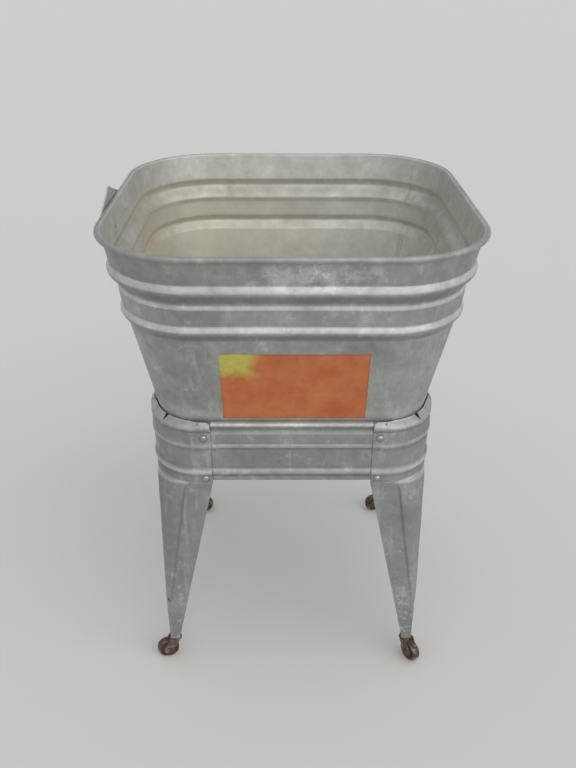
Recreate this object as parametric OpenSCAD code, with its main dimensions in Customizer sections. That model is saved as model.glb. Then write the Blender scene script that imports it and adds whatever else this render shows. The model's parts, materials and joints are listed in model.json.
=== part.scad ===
// Square washing tub of galvanised sheet on a riveted four-legged stand with swivel casters.
// The floor is z = 0, the front is -Y, and the middle of the stand is at x = 0, y = 0.

/* [Tub] */
// Half-width across the outside of the rolled rim
rim_half = 279.5; // [240:0.5:320]
// Half-length of the straight run of each tub side, between the round corners
tub_flat_half = 135; // [90:1:150]
// Height of the tub from its seat to the top of the rim
tub_depth = 389; // [330:1:450]
// Outside radius of the rolled rim
rim_roll_r = 4.5; // [3.5:0.1:6]
// Sheet thickness of the tub
tub_sheet = 1.2; // [0.8:0.1:2]
// Half-width of the tub at its foot
foot_half = 189.5; // [170:0.5:215]
// How far the wall draws in across the band under the rim
band_draw = 7.5; // [1:0.5:12]

/* [Wall beads] */
// Distance from the rim top down to the start of the upper bead
upper_bead_drop = 45; // [30:1:60]
// Height of the upper bead
upper_bead_h = 32; // [20:1:45]
// How far the upper bead swells out of the wall
upper_bead_out = 3.5; // [1:0.5:8]
// How far the wall steps in across the upper bead
upper_step = 11; // [4:0.5:16]
// Height of the band between the two beads
middle_band_h = 33.5; // [24:0.5:50]
// How far the wall draws in across the band between the beads
middle_draw = 2; // [0:0.5:8]
// How far the small ridge under the upper bead stands out
heel_out = 1.2; // [0.4:0.1:3]
// Distance from the upper bead's foot down to that ridge
heel_drop = 7; // [4:0.5:12]
// Height of the lower bead
lower_bead_h = 26; // [16:1:40]
// How far the lower bead swells out of the wall
lower_bead_out = 3; // [1:0.5:8]
// How far the wall steps in across the lower bead
lower_step = 7; // [3:0.5:14]

/* [Tub floor] */
// Height of the floor sheet above the tub's seat
floor_lift = 9; // [6:0.5:16]
// Height of the fold that holds the floor's skirt
fold_h = 7; // [4:0.5:12]
// Gap between folded sheets of the floor seam
seam_gap = 0.1; // [0.05:0.05:0.3]
// Width of the upright lock seam
lock_seam_w = 11; // [6:0.5:18]

/* [Side plate] */
// Place of the side plate along the left side
ear_y = -25; // [-60:1:60]
// Length of the side plate at the rim
ear_base = 138; // [90:1:170]
// Length of the side plate along its top
ear_top = 38; // [34:1:80]
// Height of the side plate above the rim
ear_rise = 20; // [14:0.5:32]
// Sheet thickness of the side plate
ear_sheet = 2; // [1:0.1:3]
// Radius of the two hanging holes
ear_hole_r = 3; // [2:0.1:4]
// Distance along the side between the two hanging holes
ear_hole_pitch = 13; // [10:1:24]
// How much lower the back hanging hole is than the front one
ear_hole_slant = 6; // [0:0.5:8]

/* [Drain] */
// Place of the drain across the floor
drain_x = -100; // [-120:1:120]
// Outside radius of the drain's shank
drain_r = 13.8; // [10:0.1:18]
// Outside radius of the drain's hose tail
drain_tail_r = 12.7; // [9:0.1:17]
// Length of the drain's hose tail
drain_tail = 30; // [20:1:45]
// Wall of the hose tail
drain_wall = 2.2; // [1.5:0.1:4]
// Radius of the drain's flange on the floor
drain_flange_r = 24; // [20:0.5:30]

/* [Stand] */
// Half-length of the straight run of each stand side
stand_flat_half = 145; // [110:1:150]
// How far a leg laps over the end of a rail
leg_lap = 21; // [17:1:30]
// Height of the stand's band
band_h = 106; // [90:1:130]
// Height of the stand's band bottom above the floor
band_z = 400; // [330:1:460]
// Sheet thickness of the stand
stand_sheet = 1.2; // [0.8:0.1:2]
// Gap between the tub wall and the rails' top edge
tub_fit_gap = 5.8; // [0.4:0.1:8]
// How far the ledge reaches under the tub's foot
ledge_hold = 16; // [8:1:30]
// Gap between a leg and the rail that it laps
lap_gap = 0.1; // [0.05:0.05:0.3]
// How far the beads of the band stand out
band_bead_out = 2.9; // [1.5:0.1:4]
// Radius of the frame rivets' shanks
rivet_r = 2.4; // [1.5:0.1:3]
// Radius of the frame rivets' heads
rivet_head_r = 5.2; // [3.5:0.1:6]
// Clearance of a rivet in its holes
rivet_gap = 0.1; // [0.05:0.05:0.3]

/* [Legs] */
// Width of a leg's face at the foot
leg_foot_w = 16.5; // [15.5:0.5:26]
// Width of the pressed corner ridge at the top of a leg
ridge_top_w = 45; // [36:1:56]
// Width of the pressed corner ridge at its lower end
ridge_foot_w = 2; // [2:0.5:10]
// Height of the ridge's lower end above the foot
ridge_rise = 75; // [30:1:120]
// How far the corner ridge stands out of the leg's faces
ridge_out = 1; // [0.5:0.5:5]
// Distance from the band's foot down to the ridge's shoulder
shoulder_drop = 6; // [3:0.5:15]
// How far a leg's faces stand in from the band above them
leg_inset = 4; // [1:0.5:8]

/* [Casters] */
// Radius of a caster wheel
wheel_r = 19; // [16:0.5:28]
// Width of a caster wheel
wheel_w = 14; // [10:0.5:20]
// Distance from the stem's axis back to the axle
trail = 15; // [10:0.5:24]
// Radius of the caster stem
stem_r = 4.75; // [4:0.05:6]
// Length of the stem in its socket
stem_hold = 38; // [28:1:50]
// Running clearance of the stem and of the axle
run_gap = 0.05; // [0.02:0.01:0.1]
// Radius of the axle
axle_r = 3; // [2:0.1:4]
// Sheet thickness of the horn
horn_sheet = 1.8; // [1.2:0.1:3]
// Wall of the caster socket
socket_wall = 2.2; // [1.8:0.1:5]
// Way that the front left caster trails, in degrees
trail_front_left = 190; // [0:1:359]
// Way that the front right caster trails, in degrees
trail_front_right = 305; // [0:1:359]
// Way that the back left caster trails, in degrees
trail_back_left = 350; // [0:1:359]
// Way that the back right caster trails, in degrees
trail_back_right = 185; // [0:1:359]

/* [Hidden] */
$fn = 64;
eps = 0.01;

zinc = "#9a9d98";
bright = "#a8aaa5";
dull = "#83857f";
rust = "#6b4a35";
brass = "#b08d57";
rubber = "#2b2a28";

// Quarter turns that carry the back right corner to each corner, and the right side to each side
turn_back_right = 0;
turn_back_left = 90;
turn_front_left = 180;
turn_front_right = 270;
turn_right = 0;
turn_back = 90;
turn_left = 180;
turn_front = 270;

// Tub wall: half-widths of its outside face, from the rim down
seat_z = band_z + stand_sheet;
rim_z = seat_z + tub_depth;
roll_half = rim_half - rim_roll_r;
roll_z = rim_z - rim_roll_r;
wall_top_half = rim_half - 2 * rim_roll_r + tub_sheet;
upper_bead_z = rim_z - upper_bead_drop;
band_half = wall_top_half - band_draw;
middle_z = upper_bead_z - upper_bead_h;
middle_half = band_half - upper_step;
lower_bead_z = middle_z - middle_band_h;
middle_low_half = middle_half - middle_draw;
taper_z = lower_bead_z - lower_bead_h;
taper_half = middle_low_half - lower_step;
taper = (taper_half - foot_half) / (taper_z - seat_z);
bead_steps = 9;
crest_share = 1 / 3;

// Half-width of the outside face of the tapered lower wall at height z
function taper_at(z) = foot_half + taper * (z - seat_z);

// Half-width of the outside face of the band under the rim at height z
function band_at(z) = band_half + band_draw * (z - upper_bead_z) / (roll_z - upper_bead_z);

// One swaged bead from its top edge down: the wall swells by out to a crest and then steps in by step
function bead(z, h, half, step, out) = [
  for (i = [0 : bead_steps])
    let (
      u = i / bead_steps,
      rise = out * sin(90 * min(1, u / crest_share)),
      fall = (out + step) * (1 - cos(180 * max(0, u - crest_share) / (1 - crest_share))) / 2
    )
    [half + rise - fall, z - h * u]
];

// Outside face of the wall, from the rim down to the seat
wall_face = concat(
  [[wall_top_half, roll_z]],
  bead(upper_bead_z, upper_bead_h, band_half, upper_step, upper_bead_out),
  [[middle_half + heel_out, middle_z - heel_drop]],
  bead(lower_bead_z, lower_bead_h, middle_low_half, lower_step, lower_bead_out),
  [[foot_half, seat_z]]
);

// The points of a face in reverse, moved inwards by d
function inward(face, d) = [for (i = [len(face) - 1 : -1 : 0]) [face[i][0] - d, face[i][1]]];

// Closed outline of a sheet of thickness t behind a face
function sheet_outline(face, t) = concat(face, inward(face, t));

// A ring with four straight sides and four round corners, swept from one flat section
module square_ring(flat_half) {
  for (turn = [0 : 90 : 270])
    rotate([0, 0, turn]) {
      rotate([90, 0, 0]) linear_extrude(2 * flat_half, center = true) children();
      translate([flat_half, flat_half, 0]) rotate_extrude(angle = 90) translate([-flat_half, 0]) children();
    }
}

// A flat plate with round corners
module round_plate(half, flat_half, h) {
  linear_extrude(h) {
    square([2 * half, 2 * flat_half], center = true);
    square([2 * flat_half, 2 * half], center = true);
    for (x = [-flat_half, flat_half], y = [-flat_half, flat_half])
      translate([x, y]) circle(half - flat_half);
  }
}

// Floor seam: the wall's foot folds up behind the floor's skirt
skirt_sheet = tub_sheet;
fold_half = foot_half - tub_sheet - skirt_sheet - 2 * seam_gap;
floor_z = seat_z + floor_lift;
skirt_foot_z = seat_z + tub_sheet + seam_gap;

module wall_section() {
  polygon(sheet_outline(wall_face, tub_sheet));
  difference() {
    translate([roll_half, roll_z]) circle(rim_roll_r);
    translate([roll_half, roll_z]) circle(rim_roll_r - tub_sheet);
  }
  translate([fold_half - tub_sheet, seat_z])
    square([foot_half + tub_sheet / 2 - fold_half, tub_sheet]);
  polygon(sheet_outline([[fold_half + taper * fold_h, seat_z + fold_h], [fold_half, seat_z]], tub_sheet));
}

module tub_wall() {
  color(zinc) difference() {
    square_ring(tub_flat_half) wall_section();
    ear_rivet_places() rivet_hole(ear_rivet_r);
  }
}

wire_r = rim_roll_r - tub_sheet - seam_gap;

module rim_wire() {
  color(dull) square_ring(tub_flat_half) translate([roll_half, roll_z]) circle(wire_r);
}

// Floor sheet with a skirt that hangs in the fold at the foot of the wall
function skirt_at(z) = taper_at(z) - tub_sheet - seam_gap;
skirt_top_z = floor_z + tub_sheet / 2;
skirt_face = [[skirt_at(skirt_top_z), skirt_top_z], [skirt_at(skirt_foot_z), skirt_foot_z]];

module tub_bottom() {
  color(zinc) difference() {
    union() {
      translate([0, 0, floor_z])
        round_plate(skirt_at(floor_z), tub_flat_half, tub_sheet);
      square_ring(tub_flat_half)
        polygon(sheet_outline(skirt_face, skirt_sheet));
    }
    translate([drain_x, 0, floor_z - eps]) cylinder(r = drain_r + drain_gap, h = tub_sheet + 2 * eps);
  }
}

// Upright lock seam inside the back right corner
seam_face = [for (p = wall_face) if (p[1] < roll_z && p[1] > seat_z) p];
seam_foot_gap = 1;
seam_low_z = floor_z + tub_sheet + seam_foot_gap;
seam_turn = lock_seam_w / (taper_half - tub_flat_half) * 180 / PI;

module wall_seam() {
  color(dull) translate([tub_flat_half, tub_flat_half, 0]) rotate([0, 0, 45 - seam_turn / 2])
    rotate_extrude(angle = seam_turn) translate([-tub_flat_half, 0])
      translate([-tub_sheet - seam_gap, 0])
        polygon(sheet_outline(concat(seam_face, [[taper_at(seam_low_z), seam_low_z]]), tub_sheet));
}

// Side plate on the left: a flange on the band, a joggle round the rim and a raised top with two holes
ear_gap = 0.1;
ear_edge_gap = 5;
ear_joggle = 6;
ear_flange_low = upper_bead_z + ear_edge_gap;
ear_flange_top = rim_z - 2 * rim_roll_r - ear_joggle;
ear_rivet_r = 2;
ear_rivet_head_r = 3.8;
ear_rivet_z = (ear_flange_low + ear_flange_top) / 2;
ear_rivet_pitch = 42;
ear_clear_half = rim_half + ear_gap;
ear_hole_drop = 10.5;
ear_hole_z = rim_z + ear_rise - ear_hole_drop;
ear_hole_back = 14;
ear_spare = 10;

// Outside face of the side plate, from its top down
ear_face = [
  [ear_clear_half + ear_sheet, rim_z + ear_rise],
  [ear_clear_half + ear_sheet, roll_z - rim_roll_r],
  [band_at(ear_flange_top) + ear_gap + ear_sheet, ear_flange_top],
  [band_at(ear_flange_low) + ear_gap + ear_sheet, ear_flange_low]
];

// Outline of the side plate seen from the left, with round shoulders
ear_corner_r = 17;
module ear_outline() {
  low = ear_flange_low;
  high = rim_z + ear_rise;
  shoulder = ear_top / 2 - ear_corner_r;
  polygon([
    [-ear_base / 2, low], [ear_base / 2, low], [ear_base / 2, roll_z],
    [shoulder + ear_corner_r * sin(45), high - ear_corner_r * (1 - cos(45))],
    [shoulder, high], [-shoulder, high],
    [-shoulder - ear_corner_r * sin(45), high - ear_corner_r * (1 - cos(45))],
    [-ear_base / 2, roll_z]
  ]);
  for (s = [-shoulder, shoulder]) translate([s, high - ear_corner_r]) circle(ear_corner_r);
}

// Place of the front (0) or the back (1) hanging hole, with +Z pointing into the tub
module ear_hole_place(s) {
  y = ear_y + ear_hole_back + s * ear_hole_pitch;
  z = ear_hole_z - s * ear_hole_slant;
  translate([-ear_clear_half - 2 * ear_sheet, y, z]) rotate([0, 90, 0]) children();
}

module side_ear() {
  color(zinc) difference() {
    intersection() {
      translate([0, ear_y, 0]) rotate([90, 0, 180])
        linear_extrude(ear_base, center = true) polygon(sheet_outline(ear_face, ear_sheet));
      translate([-ear_clear_half + 2 * rim_roll_r + ear_spare, ear_y, 0]) rotate([90, 0, -90])
        linear_extrude(4 * rim_roll_r + ear_sheet + 2 * ear_spare) ear_outline();
    }
    for (s = [0, 1])
      ear_hole_place(s) cylinder(r = ear_hole_r, h = 3 * ear_sheet);
    ear_rivet_places() rivet_hole(ear_rivet_r);
  }
}

// Places of the side plate's rivets, with +Z pointing out of the wall at its outside face
module ear_rivet_places() {
  lean = atan(band_draw / (roll_z - upper_bead_z));
  for (i = [-1 : 1])
    translate([-band_at(ear_rivet_z), ear_y + i * ear_rivet_pitch, ear_rivet_z])
      rotate([0, -90 - lean, 0]) children();
}

rivet_hole_reach = 10;
module rivet_hole(r) {
  translate([0, 0, -rivet_hole_reach]) cylinder(r = r + rivet_gap, h = 2 * rivet_hole_reach);
}

// Dome-headed rivet: its head starts at z = grip_out and its upset end at z = -grip_in
rivet_head_share = 0.55;
rivet_tail_share = 0.6;
rivet_upset_share = 0.8;
module rivet(r, head_r, grip_out, grip_in) {
  head_h = head_r * rivet_head_share;
  dome_r = (head_r * head_r + head_h * head_h) / (2 * head_h);
  tail_h = r * rivet_tail_share;
  translate([0, 0, -grip_in - tail_h / 2]) cylinder(r = r, h = grip_out + grip_in + tail_h);
  translate([0, 0, -grip_in - tail_h]) cylinder(r = head_r * rivet_upset_share, h = tail_h);
  intersection() {
    translate([0, 0, grip_out + head_h - dome_r]) sphere(dome_r);
    translate([0, 0, grip_out]) cylinder(r = dome_r, h = head_h);
  }
}

module ear_rivets() {
  color(bright) ear_rivet_places()
    rivet(ear_rivet_r, ear_rivet_head_r, ear_gap + ear_sheet + rivet_gap, tub_sheet + rivet_gap);
}

// Drain outlet in the floor
drain_gap = 0.3;
gasket_h = 2.5;
nut_h = 8;
floor_top = floor_z + tub_sheet;
drain_flange_h = 2;
drain_bore_r = drain_tail_r - drain_wall;
nut_z = floor_z - 2 * seam_gap - gasket_h - nut_h;
shank_end = 1;
drain_shank_z = nut_z - shank_end;

module drain_spud() {
  color(brass) translate([drain_x, 0, 0]) rotate_extrude() polygon([
    [drain_bore_r, drain_shank_z - drain_tail], [drain_tail_r, drain_shank_z - drain_tail],
    [drain_tail_r, drain_shank_z], [drain_r, drain_shank_z],
    [drain_r, floor_top + seam_gap], [drain_flange_r, floor_top + seam_gap],
    [drain_flange_r - drain_flange_h, floor_top + seam_gap + drain_flange_h],
    [drain_bore_r, floor_top + seam_gap + drain_flange_h / 2]
  ]);
}

module drain_gasket() {
  color(rubber) translate([drain_x, 0, floor_z - seam_gap - gasket_h]) difference() {
    cylinder(r = drain_flange_r, h = gasket_h);
    translate([0, 0, -eps]) cylinder(r = drain_r + drain_gap, h = gasket_h + 2 * eps);
  }
}

module drain_nut() {
  color(brass) translate([drain_x, 0, nut_z]) difference() {
    cylinder(r = drain_flange_r, h = nut_h, $fn = 6);
    translate([0, 0, -eps]) cylinder(r = drain_r + seam_gap, h = nut_h + 2 * eps);
  }
}

// Stand band: half-length of the rail that shows between two legs, and half-widths of its outside face
rail_show_half = stand_flat_half - leg_lap;
band_top = band_z + band_h;
rail_half = taper_at(band_top) + tub_fit_gap + stand_sheet;
hem_h = 9;
valley_drop = 12;
ridge_drop = 18;
face_drop = 39;
step_drop = 46;
low_bead_top = 82;
low_bead_h = 15;
ridge_share = 0.45;
shoulder_share = 0.75;
hem_steps = 6;

// A round swelling of a band from z down by h
function swell(z, h, half, out) = [
  for (i = [0 : hem_steps]) let (u = i / hem_steps) [half + out * sin(180 * u), z - h * u]
];

// The part of the band's face that legs and rails share, from the ridge down
function band_face(half) = concat(
  [
    [half + ridge_share * band_bead_out, band_top - ridge_drop],
    [half + shoulder_share * band_bead_out, band_top - face_drop],
    [half, band_top - step_drop]
  ],
  swell(band_top - low_bead_top, low_bead_h, half, band_bead_out),
  [[half, band_z]]
);

rail_face = concat(
  swell(band_top, hem_h, rail_half, band_bead_out),
  [[rail_half, band_top - valley_drop]],
  band_face(rail_half)
);

lap = stand_sheet + lap_gap;
leg_half = rail_half + lap;
lip_drop = 10;
lip_in = 6.8;
lip_mid_in = 1.7;
notch_w = 8;
leg_flat_face = concat(
  swell(band_top, hem_h, leg_half, band_bead_out),
  [[leg_half, band_top - valley_drop]],
  band_face(leg_half)
);
leg_corner_face = concat(
  [
    [leg_half - lip_in, band_top], [leg_half - lip_mid_in, band_top - lip_drop / 2],
    [leg_half, band_top - lip_drop]
  ],
  band_face(leg_half)
);

// Ledge at the foot of a rail, which the tub stands on
rail_end_gap = 1;
ledge_half = foot_half - ledge_hold;
ledge_end_gap = 8;
ledge_len_half = rail_show_half - ledge_end_gap;

module rail(turn) {
  color(zinc) difference() {
    rotate([0, 0, turn]) {
      rotate([90, 0, 0]) linear_extrude(2 * (stand_flat_half - rail_end_gap), center = true)
        polygon(sheet_outline(rail_face, stand_sheet));
      translate([ledge_half, -ledge_len_half, band_z])
        cube([rail_half - stand_sheet / 2 - ledge_half, 2 * ledge_len_half, stand_sheet]);
    }
    frame_rivet_places() rivet_hole(rivet_r);
  }
}

// Places of the frame rivets, with +Z pointing out of the band at the rail's outside face
rivet_half_y = (rail_show_half + stand_flat_half) / 2;
rivet_rise = 2;
rivet_low_drop = 0.8;
rivet_slack = 0.5;
rivet_high_z = band_top - (ridge_drop + face_drop) / 2 + rivet_rise;
rivet_low_z = (band_z + band_top - low_bead_top - low_bead_h) / 2 - rivet_low_drop;
rivet_high_half = rail_half + (ridge_share + shoulder_share) / 2 * band_bead_out;

module frame_rivet_places() {
  for (turn = [0 : 90 : 270], s = [-1, 1])
    rotate([0, 0, turn]) {
      translate([rivet_high_half, s * rivet_half_y, rivet_high_z]) rotate([0, 90, 0]) children();
      translate([rail_half, s * rivet_half_y, rivet_low_z]) rotate([0, 90, 0]) children();
    }
}

module frame_rivets() {
  color(bright) frame_rivet_places()
    rivet(rivet_r, rivet_head_r, lap + rivet_slack, stand_sheet + rivet_slack);
}

// Height of the foot: the wheel, the gap over it, the horn, the race and the swivel gap
wheel_gap = 2;
race_h = 2.7;
swivel_gap = 0.3;
foot_z = 2 * wheel_r + wheel_gap + horn_sheet + race_h + swivel_gap;

// Leg below the band: two flat faces and a round pressed ridge between them.
// The ridge is the cone that touches balls whose middles run from ridge_foot up to ridge_top,
// and below its lower end the faces meet in a plain round corner.
shoulder_z = band_z - shoulder_drop;
leg_low_half = leg_half - leg_inset;
ridge_low_z = foot_z + ridge_rise;
ridge_h = shoulder_z - ridge_low_z;
ridge_top = leg_low_half - ridge_top_w;
ridge_foot = leg_low_half - ridge_foot_w;
ridge_run = ridge_foot - ridge_top;
ridge_len = norm([ridge_run, ridge_run, ridge_h]);
step_gap = 0.2;
step_w = 1.5 * stand_sheet;
web_w = ridge_top_w / 4;
ridge_lean = atan(norm([ridge_run, ridge_run]) / ridge_h);
ridge_side_lean = atan(ridge_run / ridge_h);
ridge_flare = asin((ridge_top_w - ridge_foot_w) / ridge_len);
leg_foot_edge = leg_low_half - leg_foot_w;

// The whole cone of the ridge, its face moved in by d, a little longer than the leg at both ends
module ridge_cone(d) {
  grow = (ridge_top_w - ridge_foot_w) / ridge_len;
  spare = ridge_foot_w + ridge_out;
  low_r = ridge_foot_w + ridge_out - d - spare * grow;
  high_r = ridge_top_w + ridge_out - d + spare * grow;
  translate([ridge_foot, ridge_foot, ridge_low_z]) rotate([0, ridge_lean, 225]) translate([0, 0, -spare])
    cylinder(r1 = low_r / cos(ridge_flare), r2 = high_r / cos(ridge_flare), h = ridge_len + 2 * spare);
}

// Everything on the outer side of the plane through the ridge's axis and the x direction
module outer_side() {
  reach = 3 * ridge_top_w;
  translate([0, ridge_foot, ridge_low_z]) rotate([ridge_side_lean, 0, 0])
    translate([0, 0, -reach]) cube([leg_half + reach, reach, ridge_len + 2 * reach]);
}

// Swaps the x and y directions
module across() {
  children();
  mirror([1, -1, 0]) children();
}

// Level slice of the leg between two heights
module level(low, high) {
  translate([0, 0, low]) cube([2 * leg_half, 2 * leg_half, high - low]);
}

// One flat face of a leg below the band, on the right side
module leg_flat() {
  translate([leg_low_half - stand_sheet, 0, 0]) rotate([90, 0, 90]) linear_extrude(stand_sheet) polygon([
    [rail_show_half, shoulder_z], [leg_foot_edge, foot_z], [ridge_foot, foot_z],
    [ridge_foot, ridge_low_z], [ridge_top, shoulder_z]
  ]);
}

// Level web that closes the corner between a flat face, the band and the ridge's shoulder
module shoulder_web() {
  difference() {
    translate([leg_low_half - web_w, stand_flat_half, shoulder_z - stand_sheet])
      cube([web_w, ridge_top + stand_sheet - stand_flat_half, stand_sheet]);
    translate([stand_flat_half, stand_flat_half, 0])
      cylinder(r = leg_low_half - stand_sheet - stand_flat_half, h = rim_z);
  }
}

// Step between a flat face and the ridge
module ridge_step() {
  intersection() {
    translate([leg_low_half - stand_sheet, ridge_foot, ridge_low_z]) rotate([ridge_side_lean, 0, 0])
      translate([0, -stand_sheet, -ridge_top_w])
        cube([stand_sheet + ridge_out - step_gap, step_w, ridge_len + 2 * ridge_top_w]);
    level(ridge_low_z, shoulder_z);
  }
}

// Plain round corner between the ridge and the foot
corner_out = ridge_out / 2;
module leg_corner() {
  translate([ridge_foot, ridge_foot, foot_z]) rotate_extrude(angle = 90)
    translate([ridge_foot_w + corner_out - stand_sheet, 0]) square([stand_sheet, ridge_rise]);
}

// Round ridge with its shoulder under the band
module leg_ridge() {
  intersection() {
    difference() {
      ridge_cone(0);
      intersection() {
        ridge_cone(stand_sheet);
        level(0, shoulder_z - stand_sheet);
      }
      translate([stand_flat_half, stand_flat_half, 0])
        cylinder(r = leg_low_half - stand_sheet - stand_flat_half, h = rim_z);
    }
    outer_side();
    mirror([1, -1, 0]) outer_side();
    level(ridge_low_z, shoulder_z);
  }
}

module leg_band() {
  foot = [[leg_low_half, shoulder_z], [leg_low_half, shoulder_z - stand_sheet]];
  translate([stand_flat_half, stand_flat_half, 0])
    rotate_extrude(angle = 90) translate([-stand_flat_half, 0])
      polygon(sheet_outline(concat(leg_corner_face, foot), stand_sheet));
  across() translate([0, stand_flat_half, 0]) rotate([90, 0, 0])
    linear_extrude(stand_flat_half - rail_show_half)
      polygon(sheet_outline(concat(leg_flat_face, foot), stand_sheet));
}

// Notch that lets the lip turn in at the middle of the corner
module lip_notch() {
  reach = leg_half - stand_flat_half;
  translate([stand_flat_half, stand_flat_half, band_top]) rotate([0, 0, 45]) translate([reach / 2, 0, 0])
    rotate([45, 0, 0]) translate([0, -notch_w / 2, -notch_w / 2]) cube([reach, notch_w, notch_w]);
}

module leg(turn) {
  color(zinc) difference() {
    rotate([0, 0, turn]) {
      difference() {
        leg_band();
        lip_notch();
      }
      leg_ridge();
      leg_corner();
      across() {
        leg_flat();
        ridge_step();
        shoulder_web();
      }
    }
    frame_rivet_places() rivet_hole(rivet_r);
  }
}

// Casters: everything is placed from the stem's axis at a foot
side_gap = 1;
socket_r = stem_r + run_gap + socket_wall;
socket_gap = 0.2;
stem_half = leg_low_half - stand_sheet - socket_gap - socket_r;
foot_plate_h = 2;
horn_z = 2 * wheel_r + wheel_gap;
horn_half_w = wheel_w / 2 + side_gap;
horn_edge = 1;
horn_plate_r = horn_half_w + horn_sheet + horn_edge;
horn_nose = 0.7 * horn_plate_r;
cheek_r = 7.5;
cheek_back = 0.9 * cheek_r;
cheek_drop = 0.4 * cheek_r;
axle_head_r = 1.7 * axle_r;
axle_head_h = 1.5;
socket_top = 4;
foot_plate_w = leg_foot_w - 1;

// Carries a caster piece to its foot
module at_foot(turn) {
  rotate([0, 0, turn]) translate([stem_half, stem_half, 0]) children();
}

// Carries a caster piece to its foot and turns it so that +X is the way that the wheel trails
module at_caster(turn, heading) {
  at_foot(turn) rotate([0, 0, heading - turn]) children();
}

module caster_socket(turn) {
  color(zinc) at_foot(turn) difference() {
    union() {
      translate([socket_r - foot_plate_w, socket_r - foot_plate_w, foot_z])
        cube([foot_plate_w, foot_plate_w, foot_plate_h]);
      translate([0, 0, foot_z]) cylinder(r = socket_r, h = stem_hold + socket_top);
    }
    translate([0, 0, foot_z - eps])
      cylinder(r = stem_r + run_gap, h = stem_hold + socket_top + 2 * eps);
  }
}

// Stem: a plain shank, a tapered end in the socket and an upset head under the horn
stem_head_h = 1.4;
stem_head_r = stem_r + 1.8;
stem_end_h = 3;
stem_end_r = stem_r - 1.5;
stem_end_z = foot_z + stem_hold - 1;
stem_low_z = horn_z - stem_head_h;

module caster_stem(turn) {
  color(rust) at_foot(turn) {
    translate([0, 0, stem_low_z]) cylinder(r = stem_r, h = stem_end_z - stem_low_z);
    translate([0, 0, stem_end_z]) cylinder(r1 = stem_r, r2 = stem_end_r, h = stem_end_h);
    translate([0, 0, stem_low_z - seam_gap]) cylinder(r = stem_head_r, h = stem_head_h);
  }
}

// Ball race between the horn and the foot, as two stacked rings
race_low_h = 0.55 * race_h;
race_low_r = horn_plate_r - 1.5;
race_high_r = horn_plate_r - 3.5;

module caster_race(turn) {
  color(rust) at_foot(turn) translate([0, 0, horn_z + horn_sheet]) difference() {
    union() {
      cylinder(r = race_low_r, h = race_low_h);
      cylinder(r = race_high_r, h = race_h);
    }
    translate([0, 0, -eps]) cylinder(r = stem_r + seam_gap, h = race_h + 2 * eps);
  }
}

// One cheek of the horn, seen from the side
module cheek_outline() {
  difference() {
    union() {
      polygon([
        [-horn_nose, horn_z + horn_sheet], [horn_plate_r, horn_z + horn_sheet],
        [trail + cheek_r, wheel_r], [trail - cheek_back, wheel_r - cheek_drop]
      ]);
      translate([trail, wheel_r]) circle(cheek_r);
    }
    translate([trail, wheel_r]) circle(axle_r + run_gap);
  }
}

module caster_horn(turn, heading) {
  color(rust) at_caster(turn, heading) {
    difference() {
      union() {
        translate([0, 0, horn_z]) cylinder(r = horn_plate_r, h = horn_sheet);
        translate([-horn_nose, -horn_half_w - horn_sheet, horn_z])
          cube([horn_nose + horn_plate_r, 2 * (horn_half_w + horn_sheet), horn_sheet]);
      }
      translate([0, 0, horn_z - eps]) cylinder(r = stem_r + seam_gap, h = horn_sheet + 2 * eps);
    }
    for (s = [0, 1])
      mirror([0, s, 0]) translate([0, horn_half_w + horn_sheet, 0]) rotate([90, 0, 0])
        linear_extrude(horn_sheet) cheek_outline();
  }
}

module caster_axle(turn, heading) {
  reach = horn_half_w + horn_sheet + seam_gap;
  color(rust) at_caster(turn, heading) translate([trail, 0, wheel_r]) rotate([90, 0, 0]) {
    cylinder(r = axle_r, h = 2 * reach + axle_head_h, center = true);
    for (s = [-1, 1]) translate([0, 0, s * (reach + axle_head_h / 2)])
      cylinder(r = axle_head_r, h = axle_head_h, center = true);
  }
}

// Wheel section: hub, dished web and rounded tread
module caster_wheel(turn, heading) {
  half_w = wheel_w / 2;
  tread = 4;
  draft = 1;
  tread_round = 2;
  tread_half = half_w - 2.5;
  hub_r = axle_r + 3.5;
  web_half = half_w * 0.45;
  color(rust) at_caster(turn, heading) translate([trail, 0, wheel_r]) rotate([90, 0, 0]) rotate_extrude() {
    polygon([
      [axle_r + run_gap, -half_w], [hub_r, -half_w], [hub_r + draft, -web_half],
      [wheel_r - tread - draft, -web_half], [wheel_r - tread, -half_w],
      [wheel_r - tread_round, -half_w], [wheel_r, -tread_half],
      [wheel_r, tread_half], [wheel_r - tread_round, half_w],
      [wheel_r - tread, half_w], [wheel_r - tread - draft, web_half],
      [hub_r + draft, web_half], [hub_r, half_w], [axle_r + run_gap, half_w]
    ]);
  }
}

tub_wall();
rim_wire();
tub_bottom();
wall_seam();
side_ear();
ear_rivets();
drain_spud();
drain_gasket();
drain_nut();
rail(turn_front);  // rail_front
rail(turn_back);  // rail_back
rail(turn_left);  // rail_left
rail(turn_right);  // rail_right
leg(turn_front_left);  // leg_front_left
leg(turn_front_right);  // leg_front_right
leg(turn_back_left);  // leg_back_left
leg(turn_back_right);  // leg_back_right
frame_rivets();
caster_socket(turn_front_left);  // caster_socket_front_left
caster_socket(turn_front_right);  // caster_socket_front_right
caster_socket(turn_back_left);  // caster_socket_back_left
caster_socket(turn_back_right);  // caster_socket_back_right
caster_stem(turn_front_left);  // caster_stem_front_left
caster_stem(turn_front_right);  // caster_stem_front_right
caster_stem(turn_back_left);  // caster_stem_back_left
caster_stem(turn_back_right);  // caster_stem_back_right
caster_race(turn_front_left);  // caster_race_front_left
caster_race(turn_front_right);  // caster_race_front_right
caster_race(turn_back_left);  // caster_race_back_left
caster_race(turn_back_right);  // caster_race_back_right
caster_horn(turn_front_left, trail_front_left);  // caster_horn_front_left
caster_horn(turn_front_right, trail_front_right);  // caster_horn_front_right
caster_horn(turn_back_left, trail_back_left);  // caster_horn_back_left
caster_horn(turn_back_right, trail_back_right);  // caster_horn_back_right
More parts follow.
